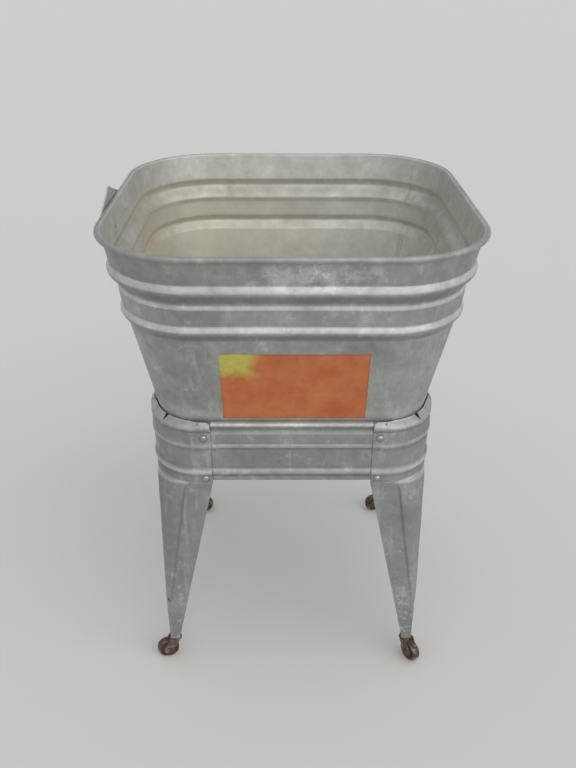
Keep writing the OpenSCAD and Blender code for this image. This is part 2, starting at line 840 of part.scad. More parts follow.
caster_axle(turn_front_left, trail_front_left);  // caster_axle_front_left
caster_axle(turn_front_right, trail_front_right);  // caster_axle_front_right
caster_axle(turn_back_left, trail_back_left);  // caster_axle_back_left
caster_axle(turn_back_right, trail_back_right);  // caster_axle_back_right
caster_wheel(turn_front_left, trail_front_left);  // caster_wheel_front_left
caster_wheel(turn_front_right, trail_front_right);  // caster_wheel_front_right
caster_wheel(turn_back_left, trail_back_left);  // caster_wheel_back_left
caster_wheel(turn_back_right, trail_back_right);  // caster_wheel_back_right
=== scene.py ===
"""Looks of the square washing tub on its rolling stand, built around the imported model."""

import json
import math

import bmesh
import bpy
import numpy as np
from mathutils import Euler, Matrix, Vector, noise


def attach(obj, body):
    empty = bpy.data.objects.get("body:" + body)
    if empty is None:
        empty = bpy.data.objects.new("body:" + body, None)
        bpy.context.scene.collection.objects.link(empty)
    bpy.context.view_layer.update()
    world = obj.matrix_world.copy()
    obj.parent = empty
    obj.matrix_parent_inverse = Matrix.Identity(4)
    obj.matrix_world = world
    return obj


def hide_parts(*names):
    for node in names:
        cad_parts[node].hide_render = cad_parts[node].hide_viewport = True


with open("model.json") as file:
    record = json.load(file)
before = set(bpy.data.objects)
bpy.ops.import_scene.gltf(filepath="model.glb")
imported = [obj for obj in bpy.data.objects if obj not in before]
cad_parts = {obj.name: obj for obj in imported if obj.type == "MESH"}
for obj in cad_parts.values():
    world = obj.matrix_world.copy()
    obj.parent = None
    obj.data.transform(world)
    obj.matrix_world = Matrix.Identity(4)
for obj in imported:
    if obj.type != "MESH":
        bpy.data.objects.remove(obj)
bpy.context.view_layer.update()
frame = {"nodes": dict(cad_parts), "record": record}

# Sizes in millimetres, repeated from the part's source
MM = 0.001
TUB_SHEET, STAND_SHEET = 1.2, 1.2
TUB_FLAT, STAND_FLAT = 135.0, 145.0
BAND_Z, BAND_TOP = 400.0, 506.0
SEAT_Z = BAND_Z + STAND_SHEET
RIM_Z = 790.2
ROLL_R = 4.5
ROLL_HALF = 275.0
ROLL_Z = RIM_Z - ROLL_R
WALL_TOP_HALF = 271.7
UPPER_BEAD_Z, UPPER_BEAD_H, UPPER_BEAD_OUT, UPPER_STEP = 745.2, 32.0, 3.5, 11.0
LOWER_BEAD_Z, LOWER_BEAD_H, LOWER_BEAD_OUT, LOWER_STEP = 679.7, 26.0, 3.0, 7.0
CREST_SHARE = 1.0 / 3.0
BAND_HALF, MIDDLE_LOW_HALF = 264.2, 251.2
HEEL_OUT, HEEL_DROP = 1.2, 7.0
MIDDLE_Z, MIDDLE_HALF = UPPER_BEAD_Z - UPPER_BEAD_H, BAND_HALF - UPPER_STEP
TAPER_Z, TAPER_HALF = LOWER_BEAD_Z - LOWER_BEAD_H, MIDDLE_LOW_HALF - LOWER_STEP
FOOT_HALF = 189.5
FOLD_HALF, FOLD_H, FOLD_LEAN = 186.9, 7.0, 1.2
FLOOR_TOP = 411.4
SEAM_W, SEAM_H = 11.0, 1.4

TUB_FIT_GAP = 5.8
LAP, LEG_INSET = 1.3, 4.0
TUB_HALF_AT_BAND = FOOT_HALF + (TAPER_HALF - FOOT_HALF) * (BAND_TOP - SEAT_Z) / (TAPER_Z - SEAT_Z)
RAIL_HALF = TUB_HALF_AT_BAND + TUB_FIT_GAP + STAND_SHEET
LEG_HALF = RAIL_HALF + LAP
LEG_LOW_HALF = LEG_HALF - LEG_INSET
RAIL_SHOW = 124.0
RAIL_END = 144.0
BAND_BEAD_OUT = 2.9
HEM_H, VALLEY_DROP, RIDGE_DROP, FACE_DROP, STEP_DROP = 9.0, 12.0, 18.0, 39.0, 46.0
LOW_BEAD_TOP, LOW_BEAD_H = 82.0, 15.0
RIDGE_SHARE, SHOULDER_SHARE = 0.45, 0.75
LEDGE_HALF, LEDGE_END = 173.5, 116.0
LIP_Z, LIP_H, LIP_OUT = 489.0, 18.0, 3.7

FOOT_Z = 44.8
SHOULDER_Z = 394.0
LEG_FOOT_W = 16.5
RIDGE_LOW_Z = 119.8
RIDGE_TOP_W, RIDGE_FOOT_W, RIDGE_OUT = 45.0, 2.0, 1.0

RIVET_HIGH_Z, RIVET_LOW_Z, RIVET_ALONG = 479.5, 403.7, 134.5
RIVET_HEAD_R, RIVET_HEAD_H = 5.2, 2.9
EAR_Y, EAR_RIVET_PITCH, EAR_RIVET_Z = -25.0, 42.0, 762.7
EAR_RIVET_HEAD_R, EAR_RIVET_HEAD_H = 3.8, 2.1
EAR_SHEET, EAR_GAP, EAR_RIVET_SINK = 2.0, 0.1, 1.0

CORNERS = {"back_right": 0, "back_left": 90, "front_left": 180, "front_right": 270}
SIDES = {"right": 0, "back": 90, "left": 180, "front": 270}


# Mesh helpers

def turned(points, degrees):
    """Points in millimetres turned about the upright axis."""
    a = math.radians(degrees)
    c, s = math.cos(a), math.sin(a)
    p = np.asarray(points, float)
    return np.stack([c * p[..., 0] - s * p[..., 1], s * p[..., 0] + c * p[..., 1], p[..., 2]], -1)


def marked(mesh, values_by_name):
    """Gives a mesh a float attribute for each name, one value to a point."""
    for name, values in values_by_name.items():
        layer = mesh.attributes.new(name, "FLOAT", "POINT")
        layer.data.foreach_set("value", np.asarray(values, np.float32).reshape(-1))
    return mesh


def grid_mesh(name, points, attributes, wrap_rows=False):
    """A mesh over a grid of points in millimetres, with float attributes of the same grid."""
    rows, columns = points.shape[:2]
    index = np.arange(rows * columns).reshape(rows, columns)
    if wrap_rows:
        index = np.concatenate([index, index[:1]])
    quads = np.stack([index[:-1, :-1], index[:-1, 1:], index[1:, 1:], index[1:, :-1]], -1)
    mesh = bpy.data.meshes.new(name)
    mesh.from_pydata((points.reshape(-1, 3) * MM).tolist(), [], quads.reshape(-1, 4).tolist())
    return marked(mesh, attributes)


def placed(name, data):
    """An object in the scene, at the origin."""
    obj = bpy.data.objects.new(name, data)
    bpy.context.scene.collection.objects.link(obj)
    return obj


SHARP_ANGLE = math.radians(40.0)


def piece(name, mesh, body, material, replaced=()):
    """A finished piece at the origin, riding on its body."""
    obj = placed(name, mesh)
    mesh.materials.clear()
    mesh.materials.append(material)
    mesh.shade_smooth()
    mesh.set_sharp_from_angle(angle=SHARP_ANGLE)
    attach(obj, body)
    if replaced:
        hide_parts(*replaced)


def settled(obj):
    """The mesh of an object with its modifiers in it. The object goes."""
    graph = bpy.context.evaluated_depsgraph_get()
    mesh = bpy.data.meshes.new_from_object(obj.evaluated_get(graph))
    bpy.data.objects.remove(obj)
    return mesh


def noded(name, mesh, tree, sizes):
    """The plain mesh that a tree of nodes makes from a mesh, with the tree's named inputs set."""
    obj = placed(name, mesh)
    modifier = obj.modifiers.new(name, "NODES")
    modifier.node_group = tree
    for item in tree.interface.items_tree:
        if item.in_out == "INPUT" and item.name in sizes:
            modifier[item.identifier] = sizes[item.name]
    return settled(obj)


def thickened(mesh, sheet):
    """An open sheet mesh given its thickness, behind its outside face."""
    obj = placed("sheet_blank", mesh)
    wall = obj.modifiers.new("thickness", "SOLIDIFY")
    wall.thickness = sheet * MM
    wall.offset = -1.0
    return settled(obj)


def closed(mesh):
    """Fills the open ends of a mesh and points its faces outwards."""
    work = bmesh.new()
    work.from_mesh(mesh)
    bmesh.ops.holes_fill(work, edges=[e for e in work.edges if e.is_boundary], sides=0)
    bmesh.ops.recalc_face_normals(work, faces=work.faces)
    work.to_mesh(mesh)
    work.free()
    return mesh


def smoothed(values, spread):
    """A row of values, spaced evenly, rounded off over about spread samples."""
    reach = int(3 * spread) + 1
    kernel = np.exp(-0.5 * (np.arange(-reach, reach + 1) / spread) ** 2)
    padded = np.concatenate([
        2 * values[0] - values[reach:0:-1], values, 2 * values[-1] - values[-2:-reach - 2:-1]
    ])
    return np.convolve(padded, kernel / kernel.sum(), "valid")


def step_curve(x):
    """0 below 0, 1 above 1 and smooth between."""
    t = np.clip(x, 0.0, 1.0)
    return t * t * (3.0 - 2.0 * t)


def peak(x, centre, spread):
    """1 at the centre, falling smoothly to about a third at spread from it."""
    return np.exp(-(((x - centre) / spread) ** 2))


def wave(point, depth, length, seed):
    """Slow unevenness of hand-worked sheet at a point, depth millimetres either way."""
    return depth * noise.noise(Vector(point) / length + Vector((seed, 2.3 * seed, -1.7 * seed)))


def add(tree, kind, inputs=None, out=0, **settings):
    """Adds a node, sets it, links the inputs that are sockets and sets the others. Gives one output."""
    node = tree.nodes.new(kind)
    for key, value in settings.items():
        setattr(node, key, value)
    for key, value in (inputs or {}).items():
        if isinstance(value, bpy.types.NodeSocket):
            tree.links.new(value, node.inputs[key])
        else:
            node.inputs[key].default_value = value
    return node.outputs[out] if node.outputs else node


def blank_tree(name, floats, integers=()):
    """A tree of geometry nodes with one geometry in, its named sizes, and one geometry out."""
    tree = bpy.data.node_groups.new(name, "GeometryNodeTree")
    tree.interface.new_socket("Geometry", in_out="INPUT", socket_type="NodeSocketGeometry")
    for label in floats:
        tree.interface.new_socket(label, in_out="INPUT", socket_type="NodeSocketFloat")
    for label in integers:
        tree.interface.new_socket(label, in_out="INPUT", socket_type="NodeSocketInt")
    tree.interface.new_socket("Geometry", in_out="OUTPUT", socket_type="NodeSocketGeometry")
    return tree, add(tree, "NodeGroupInput").node.outputs


# Tub wall: one smooth profile carried round a square with round corners

FINE = 0.5
WALL_ROUND = 1.1
wall_z = np.arange(SEAT_Z, ROLL_Z + FINE / 2, FINE)


def bead_half(z, top, height, half, step, out):
    """Half-width of a swaged bead at height z: it swells to a crest and then steps in."""
    u = np.clip((top - z) / height, 0.0, 1.0)
    rise = out * np.sin(np.pi / 2 * np.minimum(1.0, u / CREST_SHARE))
    turn = np.pi * np.maximum(0.0, u - CREST_SHARE) / (1.0 - CREST_SHARE)
    return half + rise - (out + step) * (1.0 - np.cos(turn)) / 2


def wall_profile():
    """Half-width of the outside of the wall at each of wall_z, with its creases rounded."""
    half = np.interp(
        wall_z,
        [SEAT_Z, TAPER_Z, LOWER_BEAD_Z, MIDDLE_Z - HEEL_DROP, MIDDLE_Z, UPPER_BEAD_Z, ROLL_Z],
        [
            FOOT_HALF, TAPER_HALF, MIDDLE_LOW_HALF, MIDDLE_HALF + HEEL_OUT, MIDDLE_HALF, BAND_HALF,
            WALL_TOP_HALF,
        ],
    )
    for bead in (
        (LOWER_BEAD_Z, LOWER_BEAD_H, MIDDLE_LOW_HALF, LOWER_STEP, LOWER_BEAD_OUT),
        (UPPER_BEAD_Z, UPPER_BEAD_H, BAND_HALF, UPPER_STEP, UPPER_BEAD_OUT),
    ):
        top, height = bead[:2]
        half = np.where((wall_z > top - height) & (wall_z < top), bead_half(wall_z, *bead), half)
    return smoothed(half, WALL_ROUND / FINE)


# From 0 to 1 up the wall: where it leans back in, where it steps out, and where its inside is creased
CREST_SLOPE, CREST_SPAN = 0.04, 0.20
HOLLOW_SLOPE, HOLLOW_SPAN = 0.27, 0.40
FULL_CREASE = 0.12
wall_half = wall_profile()
slope = np.gradient(wall_half, FINE)
crest = step_curve((CREST_SLOPE - slope) / CREST_SPAN)
hollow = step_curve((slope - HOLLOW_SLOPE) / HOLLOW_SPAN)
inner_crease = np.clip(np.gradient(slope, FINE) / FULL_CREASE, 0.0, 1.0)

# Unevenness of the wall as depth, length and seed, and where the stand, rim and side plate hold it true
WALL_WAVES = (0.85, 95.0, 3.1), (0.3, 34.0, 5.7)
RIM_DIP, RIM_DIP_DROP, RIM_DIP_RISE = (0.5, 120.0, 9.2), 12.0, 10.0
HELD_SHARE, FREE_Z, FREE_RISE = 0.15, 520.0, 60.0
RIM_HOLD, RIM_HOLD_Z, RIM_HOLD_RISE = 0.6, 740.0, 30.0
EAR_SIDE, EAR_SIDE_RUN, EAR_LOW_Z, EAR_LOW_RISE = 240.0, 12.0, 735.0, 8.0


def wall_wave(x, y, z):
    """How far the wall stands out of true at a point on it, in millimetres."""
    low = HELD_SHARE + (1.0 - HELD_SHARE) * step_curve((z - FREE_Z) / FREE_RISE)
    rim = 1.0 - RIM_HOLD * step_curve((z - RIM_HOLD_Z) / RIM_HOLD_RISE)
    ear = 1.0 - step_curve((-x - EAR_SIDE) / EAR_SIDE_RUN) * step_curve((z - EAR_LOW_Z) / EAR_LOW_RISE)
    slow = sum(wave((x, y, z), *ripple) for ripple in WALL_WAVES)
    return slow * low * rim * ear


def way_out(x, y):
    """The level direction out of the wall at a point on it."""
    reach = [math.copysign(max(0.0, abs(d) - TUB_FLAT), d) for d in (x, y)]
    return Vector(reach).normalized()


PATH_HALF, STATIONS, CORNER_STEPS = 230.0, 248, 48


def wall_tree(material):
    """Sweeps the wall's profile round a square path with round corners."""
    tree, given = blank_tree("swept_wall", ("Path half-width", "Corner radius"), ("Stations",))
    across = add(tree, "ShaderNodeMath", {0: given["Path half-width"], 1: 2.0}, operation="MULTIPLY")
    square = add(tree, "GeometryNodeCurvePrimitiveQuadrilateral", {"Width": across, "Height": across})
    rounded = add(tree, "GeometryNodeFilletCurve", {
        "Curve": square, "Count": CORNER_STEPS, "Radius": given["Corner radius"],
    }, mode="POLY")
    path = add(tree, "GeometryNodeResampleCurve", {
        "Curve": rounded, "Count": given["Stations"],
    }, mode="COUNT")
    level = add(tree, "GeometryNodeSetCurveNormal", {"Curve": path}, mode="Z_UP")
    profile = add(tree, "GeometryNodeMeshToCurve", {"Mesh": given["Geometry"]})
    swept = add(tree, "GeometryNodeCurveToMesh", {"Curve": level, "Profile Curve": profile})
    real = add(tree, "GeometryNodeRealizeInstances", {0: swept})
    zinc = add(tree, "GeometryNodeSetMaterial", {"Geometry": real, "Material": material})
    add(tree, "NodeGroupOutput", {0: zinc})
    return tree


# Rows of the wall: every so many samples, and the turn of the roll in degrees
PLAIN_TOP_Z, PLAIN_SKIP, BEAD_SKIP = 648.0, 14, 3
ROLL_JOIN, ROLL_FROM, ROLL_TO, ROLL_STEPS = 2.6, 220.0, 540.0, 30
ROLL_UNDER_TO, ROLL_INSIDE_FROM = 275.0, 480.0
# Where the tub rubs on the stand, grime, wear and painted light and shade of the roll and inside, and a
# knocked patch below the rim
# The rubbed ring is paler: partly rubbed zinc, partly painted light that lifts the shade of the gap above the
# rail's hem
RUB_Z, RUB_SPREAD, RUB_WEAR_AND_LIGHT = BAND_TOP + 8.0, 12.0, 0.5
# Painted shade under the roll; its top darker, with a faint painted highlight where it faces up
ROLL_UNDER_SHADE, ROLL_TOP_DARKENING, ROLL_TOP_HIGHLIGHT = 1.3, 0.6, 0.1
# Painted shade on the inner ledges that face up, painted shade with some grime in the inner creases, wear and
# painted highlight on the inner crests, and the folded foot darker
LEDGE_SHADE, CREASE_GRIME_AND_SHADE, INSIDE_WEAR_AND_HIGHLIGHT, FOOT_FOLD_DARKENING = 1.5, 0.3, 0.8, 0.3
KNOCKS, KNOCKS_SIZE = (30.0, -268.0, 762.0), (75.0, 12.0, 16.0)


def wall_rows():
    """The wall's section as rows of half-width, height, grime and painted shade, wear and painted highlight,
    and share of inside.
    """
    keep = [
        i for i, z in enumerate(wall_z)
        if i % (BEAD_SKIP if z > PLAIN_TOP_Z else PLAIN_SKIP) == 0 and z < ROLL_Z - ROLL_JOIN
    ]
    # Paler ring where the tub rubs on the stand, partly painted light
    rubbed = RUB_WEAR_AND_LIGHT * peak(wall_z, RUB_Z, RUB_SPREAD)
    # Outside: painted shade on the bead undersides that face down, wear and painted highlight on the crests
    # that face up
    rows = [(wall_half[i], wall_z[i], hollow[i], max(crest[i], rubbed[i]), 0.0) for i in keep]
    for a in np.linspace(ROLL_FROM, ROLL_TO, ROLL_STEPS):
        out, up = math.cos(math.radians(a)), math.sin(math.radians(a))
        top = max(0.0, up)
        # Painted shade under the roll, the top darker, and a faint painted highlight on the top
        grime_and_shade = ROLL_UNDER_SHADE if a < ROLL_UNDER_TO else ROLL_TOP_DARKENING * top
        inside = 1.0 if a > ROLL_INSIDE_FROM else 0.0
        rows.append((ROLL_HALF + ROLL_R * out, ROLL_Z + ROLL_R * up, grime_and_shade, ROLL_TOP_HIGHLIGHT * top, inside))
    for i in reversed(keep):
        # Inside: painted shade on the ledges that face up and, with some grime, in the creases; wear and
        # painted highlight on the crests
        grime_and_shade = max(CREASE_GRIME_AND_SHADE * inner_crease[i], LEDGE_SHADE * hollow[i])
        rows.append((wall_half[i] - TUB_SHEET, wall_z[i], grime_and_shade, INSIDE_WEAR_AND_HIGHLIGHT * crest[i], 1.0))
    foot = SEAT_Z + TUB_SHEET
    for half, z in (
        (FOOT_HALF - TUB_SHEET, foot), (FOLD_HALF, foot), (FOLD_HALF + FOLD_LEAN, SEAT_Z + FOLD_H),
        (FOLD_HALF, SEAT_Z + FOLD_H), (FOLD_HALF - TUB_SHEET, SEAT_Z + TUB_SHEET / 2), (FOLD_HALF, SEAT_Z),
    ):
        rows.append((half, z, FOOT_FOLD_DARKENING, 0.0, 0.0))
    return np.array(rows)


def tub_shell_mesh(material):
    """The wall with its rolled rim and its folded foot, as one closed skin, a little out of true."""
    rows = wall_rows()
    line = bpy.data.meshes.new("wall_profile")
    line.from_pydata(
        np.column_stack([(rows[:, 0] - PATH_HALF) * MM, -rows[:, 1] * MM, 0.0 * rows[:, 0]]).tolist(),
        [(i, (i + 1) % len(rows)) for i in range(len(rows))], [],
    )
    marked(line, {"grime_and_shade": rows[:, 2], "wear_and_highlight": rows[:, 3], "inside": rows[:, 4]})
    mesh = noded("swept_wall", line, wall_tree(material), {
        "Path half-width": PATH_HALF * MM, "Corner radius": (PATH_HALF - TUB_FLAT) * MM, "Stations": STATIONS,
    })
    places = np.array([vertex.co[:] for vertex in mesh.vertices]) / MM
    marked(mesh, {"scuff": peak(places, np.array(KNOCKS), np.array(KNOCKS_SIZE)).prod(1)})
    for vertex in mesh.vertices:
        x, y, z = vertex.co / MM
        out = way_out(x, y) * wall_wave(x, y, z)
        dip = wave((x, y, 0.0), *RIM_DIP) * step_curve((z - ROLL_Z + RIM_DIP_DROP) / RIM_DIP_RISE)
        vertex.co = Vector((x + out.x, y + out.y, z + dip)) * MM
    return closed(mesh)


# The lock seam's section, from edge to edge: its height as a share, and the grime in its fold lines
SEAM_LIFT = np.array([0.0, 0.7, 1.0, 1.0, 0.8, 1.0, 1.0, 0.7, 0.0])
SEAM_GRIME = np.array([1.0, 0.7, 0.1, 0.1, 0.9, 0.1, 0.1, 0.7, 1.0])
SEAM_SHEET, SEAM_SINK, SEAM_SKIP, SEAM_ARC_R = 0.9, 0.15, 6, 110.0
SEAM_FOOT_GAP, SEAM_TOP_GAP = 1.0, 6.0
SEAM_DARK_Z, SEAM_DARK_RISE, SEAM_SHADE, SEAM_DARK = 690.0, 40.0, 0.5, 1.8


def lock_seam_mesh():
    """The upright fold that closes the wall, on the inside of the back right corner."""
    rows = [
        i for i, z in enumerate(wall_z)
        if i % SEAM_SKIP == 0 and FLOOR_TOP + SEAM_FOOT_GAP < z < ROLL_Z - SEAM_TOP_GAP
    ]
    arc = SEAM_W / SEAM_ARC_R
    across = np.linspace(-0.5, 0.5, len(SEAM_LIFT))
    lift = SEAM_H * SEAM_LIFT - SEAM_SINK
    points = np.zeros((len(rows), len(across), 3))
    for r, i in enumerate(rows):
        for c, share in enumerate(across):
            a = math.pi / 4 + arc * share
            way = Vector((math.cos(a), math.sin(a)))
            spot = Vector((TUB_FLAT, TUB_FLAT)) + way * (wall_half[i] - TUB_FLAT)
            spot += way * (wall_wave(spot.x, spot.y, wall_z[i]) - TUB_SHEET - lift[c])
            points[r, c] = (spot.x, spot.y, wall_z[i])
    low = SEAM_SHADE + SEAM_DARK * step_curve((SEAM_DARK_Z - wall_z[rows]) / SEAM_DARK_RISE)
    # The seam's dark fold lines, darker low down, and the painted shade of the inner ledges
    grime_and_shade = np.maximum(low[:, None] * SEAM_GRIME[None, :], LEDGE_SHADE * hollow[rows][:, None])
    mesh = grid_mesh("lock_seam", points[:, ::-1], {"inside": np.ones_like(grime_and_shade), "grime_and_shade": grime_and_shade})
    return thickened(mesh, SEAM_SHEET)


# Stand: rails with rolled beads, and legs pressed round the corners

# Rounding of the creases, shares of the bead's height, and how sharp a bend gathers full painted shade or
# highlight
RAIL_ROUND, LEG_ROUND, SHADE_ROUND = 0.8, 2.6, 1.2
STEP_SHARE, LEG_RIDGE_SHARE = 0.45, 0.2
STEP_UNDER, STEP_OVER = 0.6, 1.2
FACE_SWELL, FACE_SWELL_SPREAD, FACE_SWELL_DROP = 0.45, 3.0, 1.0
FULL_BEND, MOST_GRIME_AND_SHADE = 0.10, 1.7
band_z = np.arange(BAND_Z, BAND_TOP + FINE / 2, FINE)


def swell(z, top, height, out):
    """A round swelling of the band below top."""
    u = np.clip((top - z) / height, 0.0, 1.0)
    return out * np.sin(np.pi * u)


def band_profile(half, hem, soft=RAIL_ROUND):
    """Half-width of the outside of the band at each of band_z, with its creases rounded."""
    drops = [
        BAND_TOP - BAND_Z, STEP_DROP + STEP_UNDER, STEP_DROP - STEP_OVER,
        FACE_DROP, RIDGE_DROP, VALLEY_DROP, 0.0,
    ]
    ridge = [0.0, 0.0, STEP_SHARE, SHOULDER_SHARE, RIDGE_SHARE if hem else LEG_RIDGE_SHARE, 0.0, 0.0]
    out = np.interp(band_z, [BAND_TOP - d for d in drops], np.array(ridge) * BAND_BEAD_OUT)
    out += FACE_SWELL * peak(band_z, BAND_TOP - FACE_DROP - FACE_SWELL_DROP, FACE_SWELL_SPREAD)
    out += swell(band_z, BAND_TOP - LOW_BEAD_TOP, LOW_BEAD_H, BAND_BEAD_OUT)
    if hem:
        out += swell(band_z, BAND_TOP, HEM_H, BAND_BEAD_OUT)
    return half + smoothed(out, soft / FINE)


def band_shades(profile):
    """Painted shade, with some grime, in the hollows and painted highlight, with some wear, on the crests of
    a band's profile.
    """
    curve = smoothed(np.gradient(np.gradient(profile, FINE), FINE), SHADE_ROUND / FINE)
    return np.clip(curve / FULL_BEND, 0.0, MOST_GRIME_AND_SHADE), np.clip(-curve / FULL_BEND, 0.0, 1.0)


# The rail's hem: the turn of its curl in degrees, its reach to the tub and how square its back is
HEM_FROM, HEM_TO, HEM_STEPS, HEM_JOIN = -60.0, 235.0, 24, 0.2
CURL_REACH, CURL_SQUARE = 5.1, 0.62
# Along the rail: stations, closer at the seams, its unevenness as depth, length and seed, and its ledge
RAIL_STATIONS, RAIL_SEAM_STEPS = 41, (-2.0, -1.2, -0.6, 0.4)
RAIL_WAVE, RAIL_FREE_END, RAIL_FREE_RUN = (0.22, 60.0, 1.9), 112.0, 10.0
LEDGE_PLAY, LEDGE_FADE, LEDGE_CUT = 0.3, 6.0, 7.0
# Its painted light and shade: shade under the low bead, less wear and highlight below the step, a highlight
# over the hem, darker behind, and a painted shadow beside the legs
BEAD_SHADE, BEAD_SHADE_RISE, BEAD_SHADE_SPREAD = 1.2, 1.5, 2.2
LOW_WEAR_AND_HIGHLIGHT, LOW_WEAR_AND_HIGHLIGHT_DROP = 0.45, 4.0
HEM_HIGHLIGHT, HEM_HIGHLIGHT_TURN, BEHIND_DARKENING = 0.95, 0.5, 0.4
LEG_EDGE_SHADOW, LEG_EDGE_SHADOW_START, LEG_EDGE_SHADOW_RUN = 1.6, 1.6, 1.2


def rail_rows():
    """The rail's section as rows of half-width, height, grime and painted shade, wear and painted highlight,
    and whether it is the ledge's edge.
    """
    face = band_profile(RAIL_HALF, True)
    grime_and_shade, wear_and_highlight = band_shades(face)
    low_bead_foot = BAND_TOP - LOW_BEAD_TOP - LOW_BEAD_H
    # Painted shade in the crease under the low bead
    grime_and_shade = grime_and_shade + BEAD_SHADE * peak(band_z, low_bead_foot + BEAD_SHADE_RISE, BEAD_SHADE_SPREAD)
    wear_and_highlight = wear_and_highlight * np.where(band_z > BAND_TOP - STEP_DROP - LOW_WEAR_AND_HIGHLIGHT_DROP, 1.0, LOW_WEAR_AND_HIGHLIGHT)
    under = [i for i in range(0, len(band_z), 2) if band_z[i] < BAND_TOP - HEM_H - HEM_JOIN]
    rows = [(face[i], band_z[i], grime_and_shade[i], wear_and_highlight[i], False) for i in under]
    for a in np.radians(np.linspace(HEM_FROM, HEM_TO, HEM_STEPS)):
        power = CURL_SQUARE if math.cos(a) < 0.0 else 1.0
        out, up = (math.copysign(abs(d) ** power, d) for d in (math.cos(a), math.sin(a)))
        # Painted highlight on the top of the hem's curl
        rows.append((
            RAIL_HALF + BAND_BEAD_OUT - CURL_REACH + CURL_REACH * out, BAND_TOP - HEM_H / 2 + HEM_H / 2 * up,
            0.0, HEM_HIGHLIGHT * max(0.0, math.sin(a + HEM_HIGHLIGHT_TURN)), False,
        ))
    for i in reversed(under):
        if band_z[i] > BAND_Z + STAND_SHEET:
            # The back of the rail and its ledge darker
            rows.append((face[i] - STAND_SHEET, band_z[i], BEHIND_DARKENING, 0.0, False))
    for z in (BAND_Z + STAND_SHEET, BAND_Z):
        rows.append((LEDGE_HALF, z, BEHIND_DARKENING, 0.0, True))
    return rows


def rail_mesh(turn):
    """One rail with its hem, beads and the ledge that carries the tub."""
    rows = rail_rows()
    seam = [s * (RAIL_SHOW + d) for s in (-1, 1) for d in RAIL_SEAM_STEPS]
    along = np.array(sorted(list(np.linspace(-RAIL_END, RAIL_END, RAIL_STATIONS)) + seam))
    inner = RAIL_HALF - STAND_SHEET - LEDGE_PLAY
    points = np.zeros((len(rows), len(along), 3))
    for r, (half, z, _, _, ledge) in enumerate(rows):
        for c, y in enumerate(along):
            if ledge:
                reach = 1.0 - step_curve((abs(y) - LEDGE_END + LEDGE_FADE) / LEDGE_CUT)
                x = inner - reach * (inner - half)
            else:
                free = 1.0 - step_curve((abs(y) - RAIL_FREE_END) / RAIL_FREE_RUN)
                x = half + free * wave((turn, y, z), *RAIL_WAVE)
            points[r, c] = (x, y, z)
    shades = np.array([row[2:4] for row in rows])
    # Painted shadow beside each leg's edge where its sheet laps over the rail, with no wear or highlight
    # there
    beside = step_curve((np.abs(along) - RAIL_SHOW + LEG_EDGE_SHADOW_START) / LEG_EDGE_SHADOW_RUN)[None, :]
    return closed(grid_mesh(f"rail_{turn}", turned(points, turn), {
        "grime_and_shade": np.maximum(shades[:, :1], LEG_EDGE_SHADOW * beside),
        "wear_and_highlight": np.where(beside > 0.0, 0.0, shades[:, 1:]),
    }, wrap_rows=True))


# Leg: points along a level line and rows up it, its pressed ridge, and its swing out to the band
LEG_ROWS, LEG_FLAT_STEPS, LEG_STEP_STEPS, LEG_ARC_STEPS = 76, 16, 6, 26
CREASE_W, CREASE_DEPTH, CREASE_END, CREASE_RUN = 6.0, 1.6, 2.0, 12.0
RIDGE_FADE = 0.12
FLARE_OUT, FLARE_H = 6.0, 20.0
SWING_H = 14.0
SHOULDER_STEPS = (0.14, 0.30, 0.48, 0.66, 0.86)
CRISP_FROM, CRISP_RUN = 0.55, 0.40
# Unevenness of the leg and of its band as depth, length and seed, and where each fades in and out
LEG_WAVE, CORNER_WAVE, LEG_CENTRE = (0.7, 42.0, 4.4), (0.5, 26.0, 6.6), 150.0
LEG_WAVE_TOP, LEG_WAVE_TOP_RUN, LEG_WAVE_LOW, LEG_WAVE_LOW_RUN = 380.0, 60.0, FOOT_Z + 5.0, 30.0
CORNER_WAVE_LOW, CORNER_WAVE_LOW_RUN, CORNER_WAVE_END, CORNER_WAVE_END_RUN = 412.0, 10.0, 0.75, 0.2
# The rust spot, in the back right corner's frame, and heights below which dirt and scuffs gather
RUST_SPOT, RUST_SIZE = (212.0, 216.5, 140.0), (5.0, 5.0, 13.0)
DIRT_Z, DIRT_RISE, FOOT_DIRT = 150.0, 100.0, 0.9
SCUFF_Z, SCUFF_RISE = 330.0, 260.0
# Painted light and shade of the shoulder, the band and the lip from its foot up, painted shade in the creases
# and painted shadow rings round the rivets
SHOULDER_HIGHLIGHT_DROP, SHOULDER_HIGHLIGHT_RISE, SHOULDER_SHADE = 5.0, 4.0, 0.35
SHOULDER_DROP, SHOULDER_OVER = 8.0, 3.0
FLAT_WEAR_AND_HIGHLIGHT, FLAT_GRIME_AND_SHADE, LEG_BAND_SHADE = 0.15, 0.2, 1.2
LIP_FOOT_SHADOW, LIP_FOOT_SHADOW_STEP, LIP_HIGHLIGHT, LIP_HIGHLIGHT_STEP = 1.3, 0.3, 0.5, 0.08
FOLD_STEP, FOLD_SPREAD, FOLD_SHADE = 2, 2.4, 1.5
FOLD_SHADE_TOP, FOLD_SHADE_RUN, FOLD_SHADE_FADE = 6.0, 10.0, 0.08
FOLD_SHADE_LEAST, FOLD_SHADE_GAIN = 0.35, 0.5
RIVET_RING_SHADOW, RIVET_RING_SHADOW_SPREAD = 1.3, 1.6


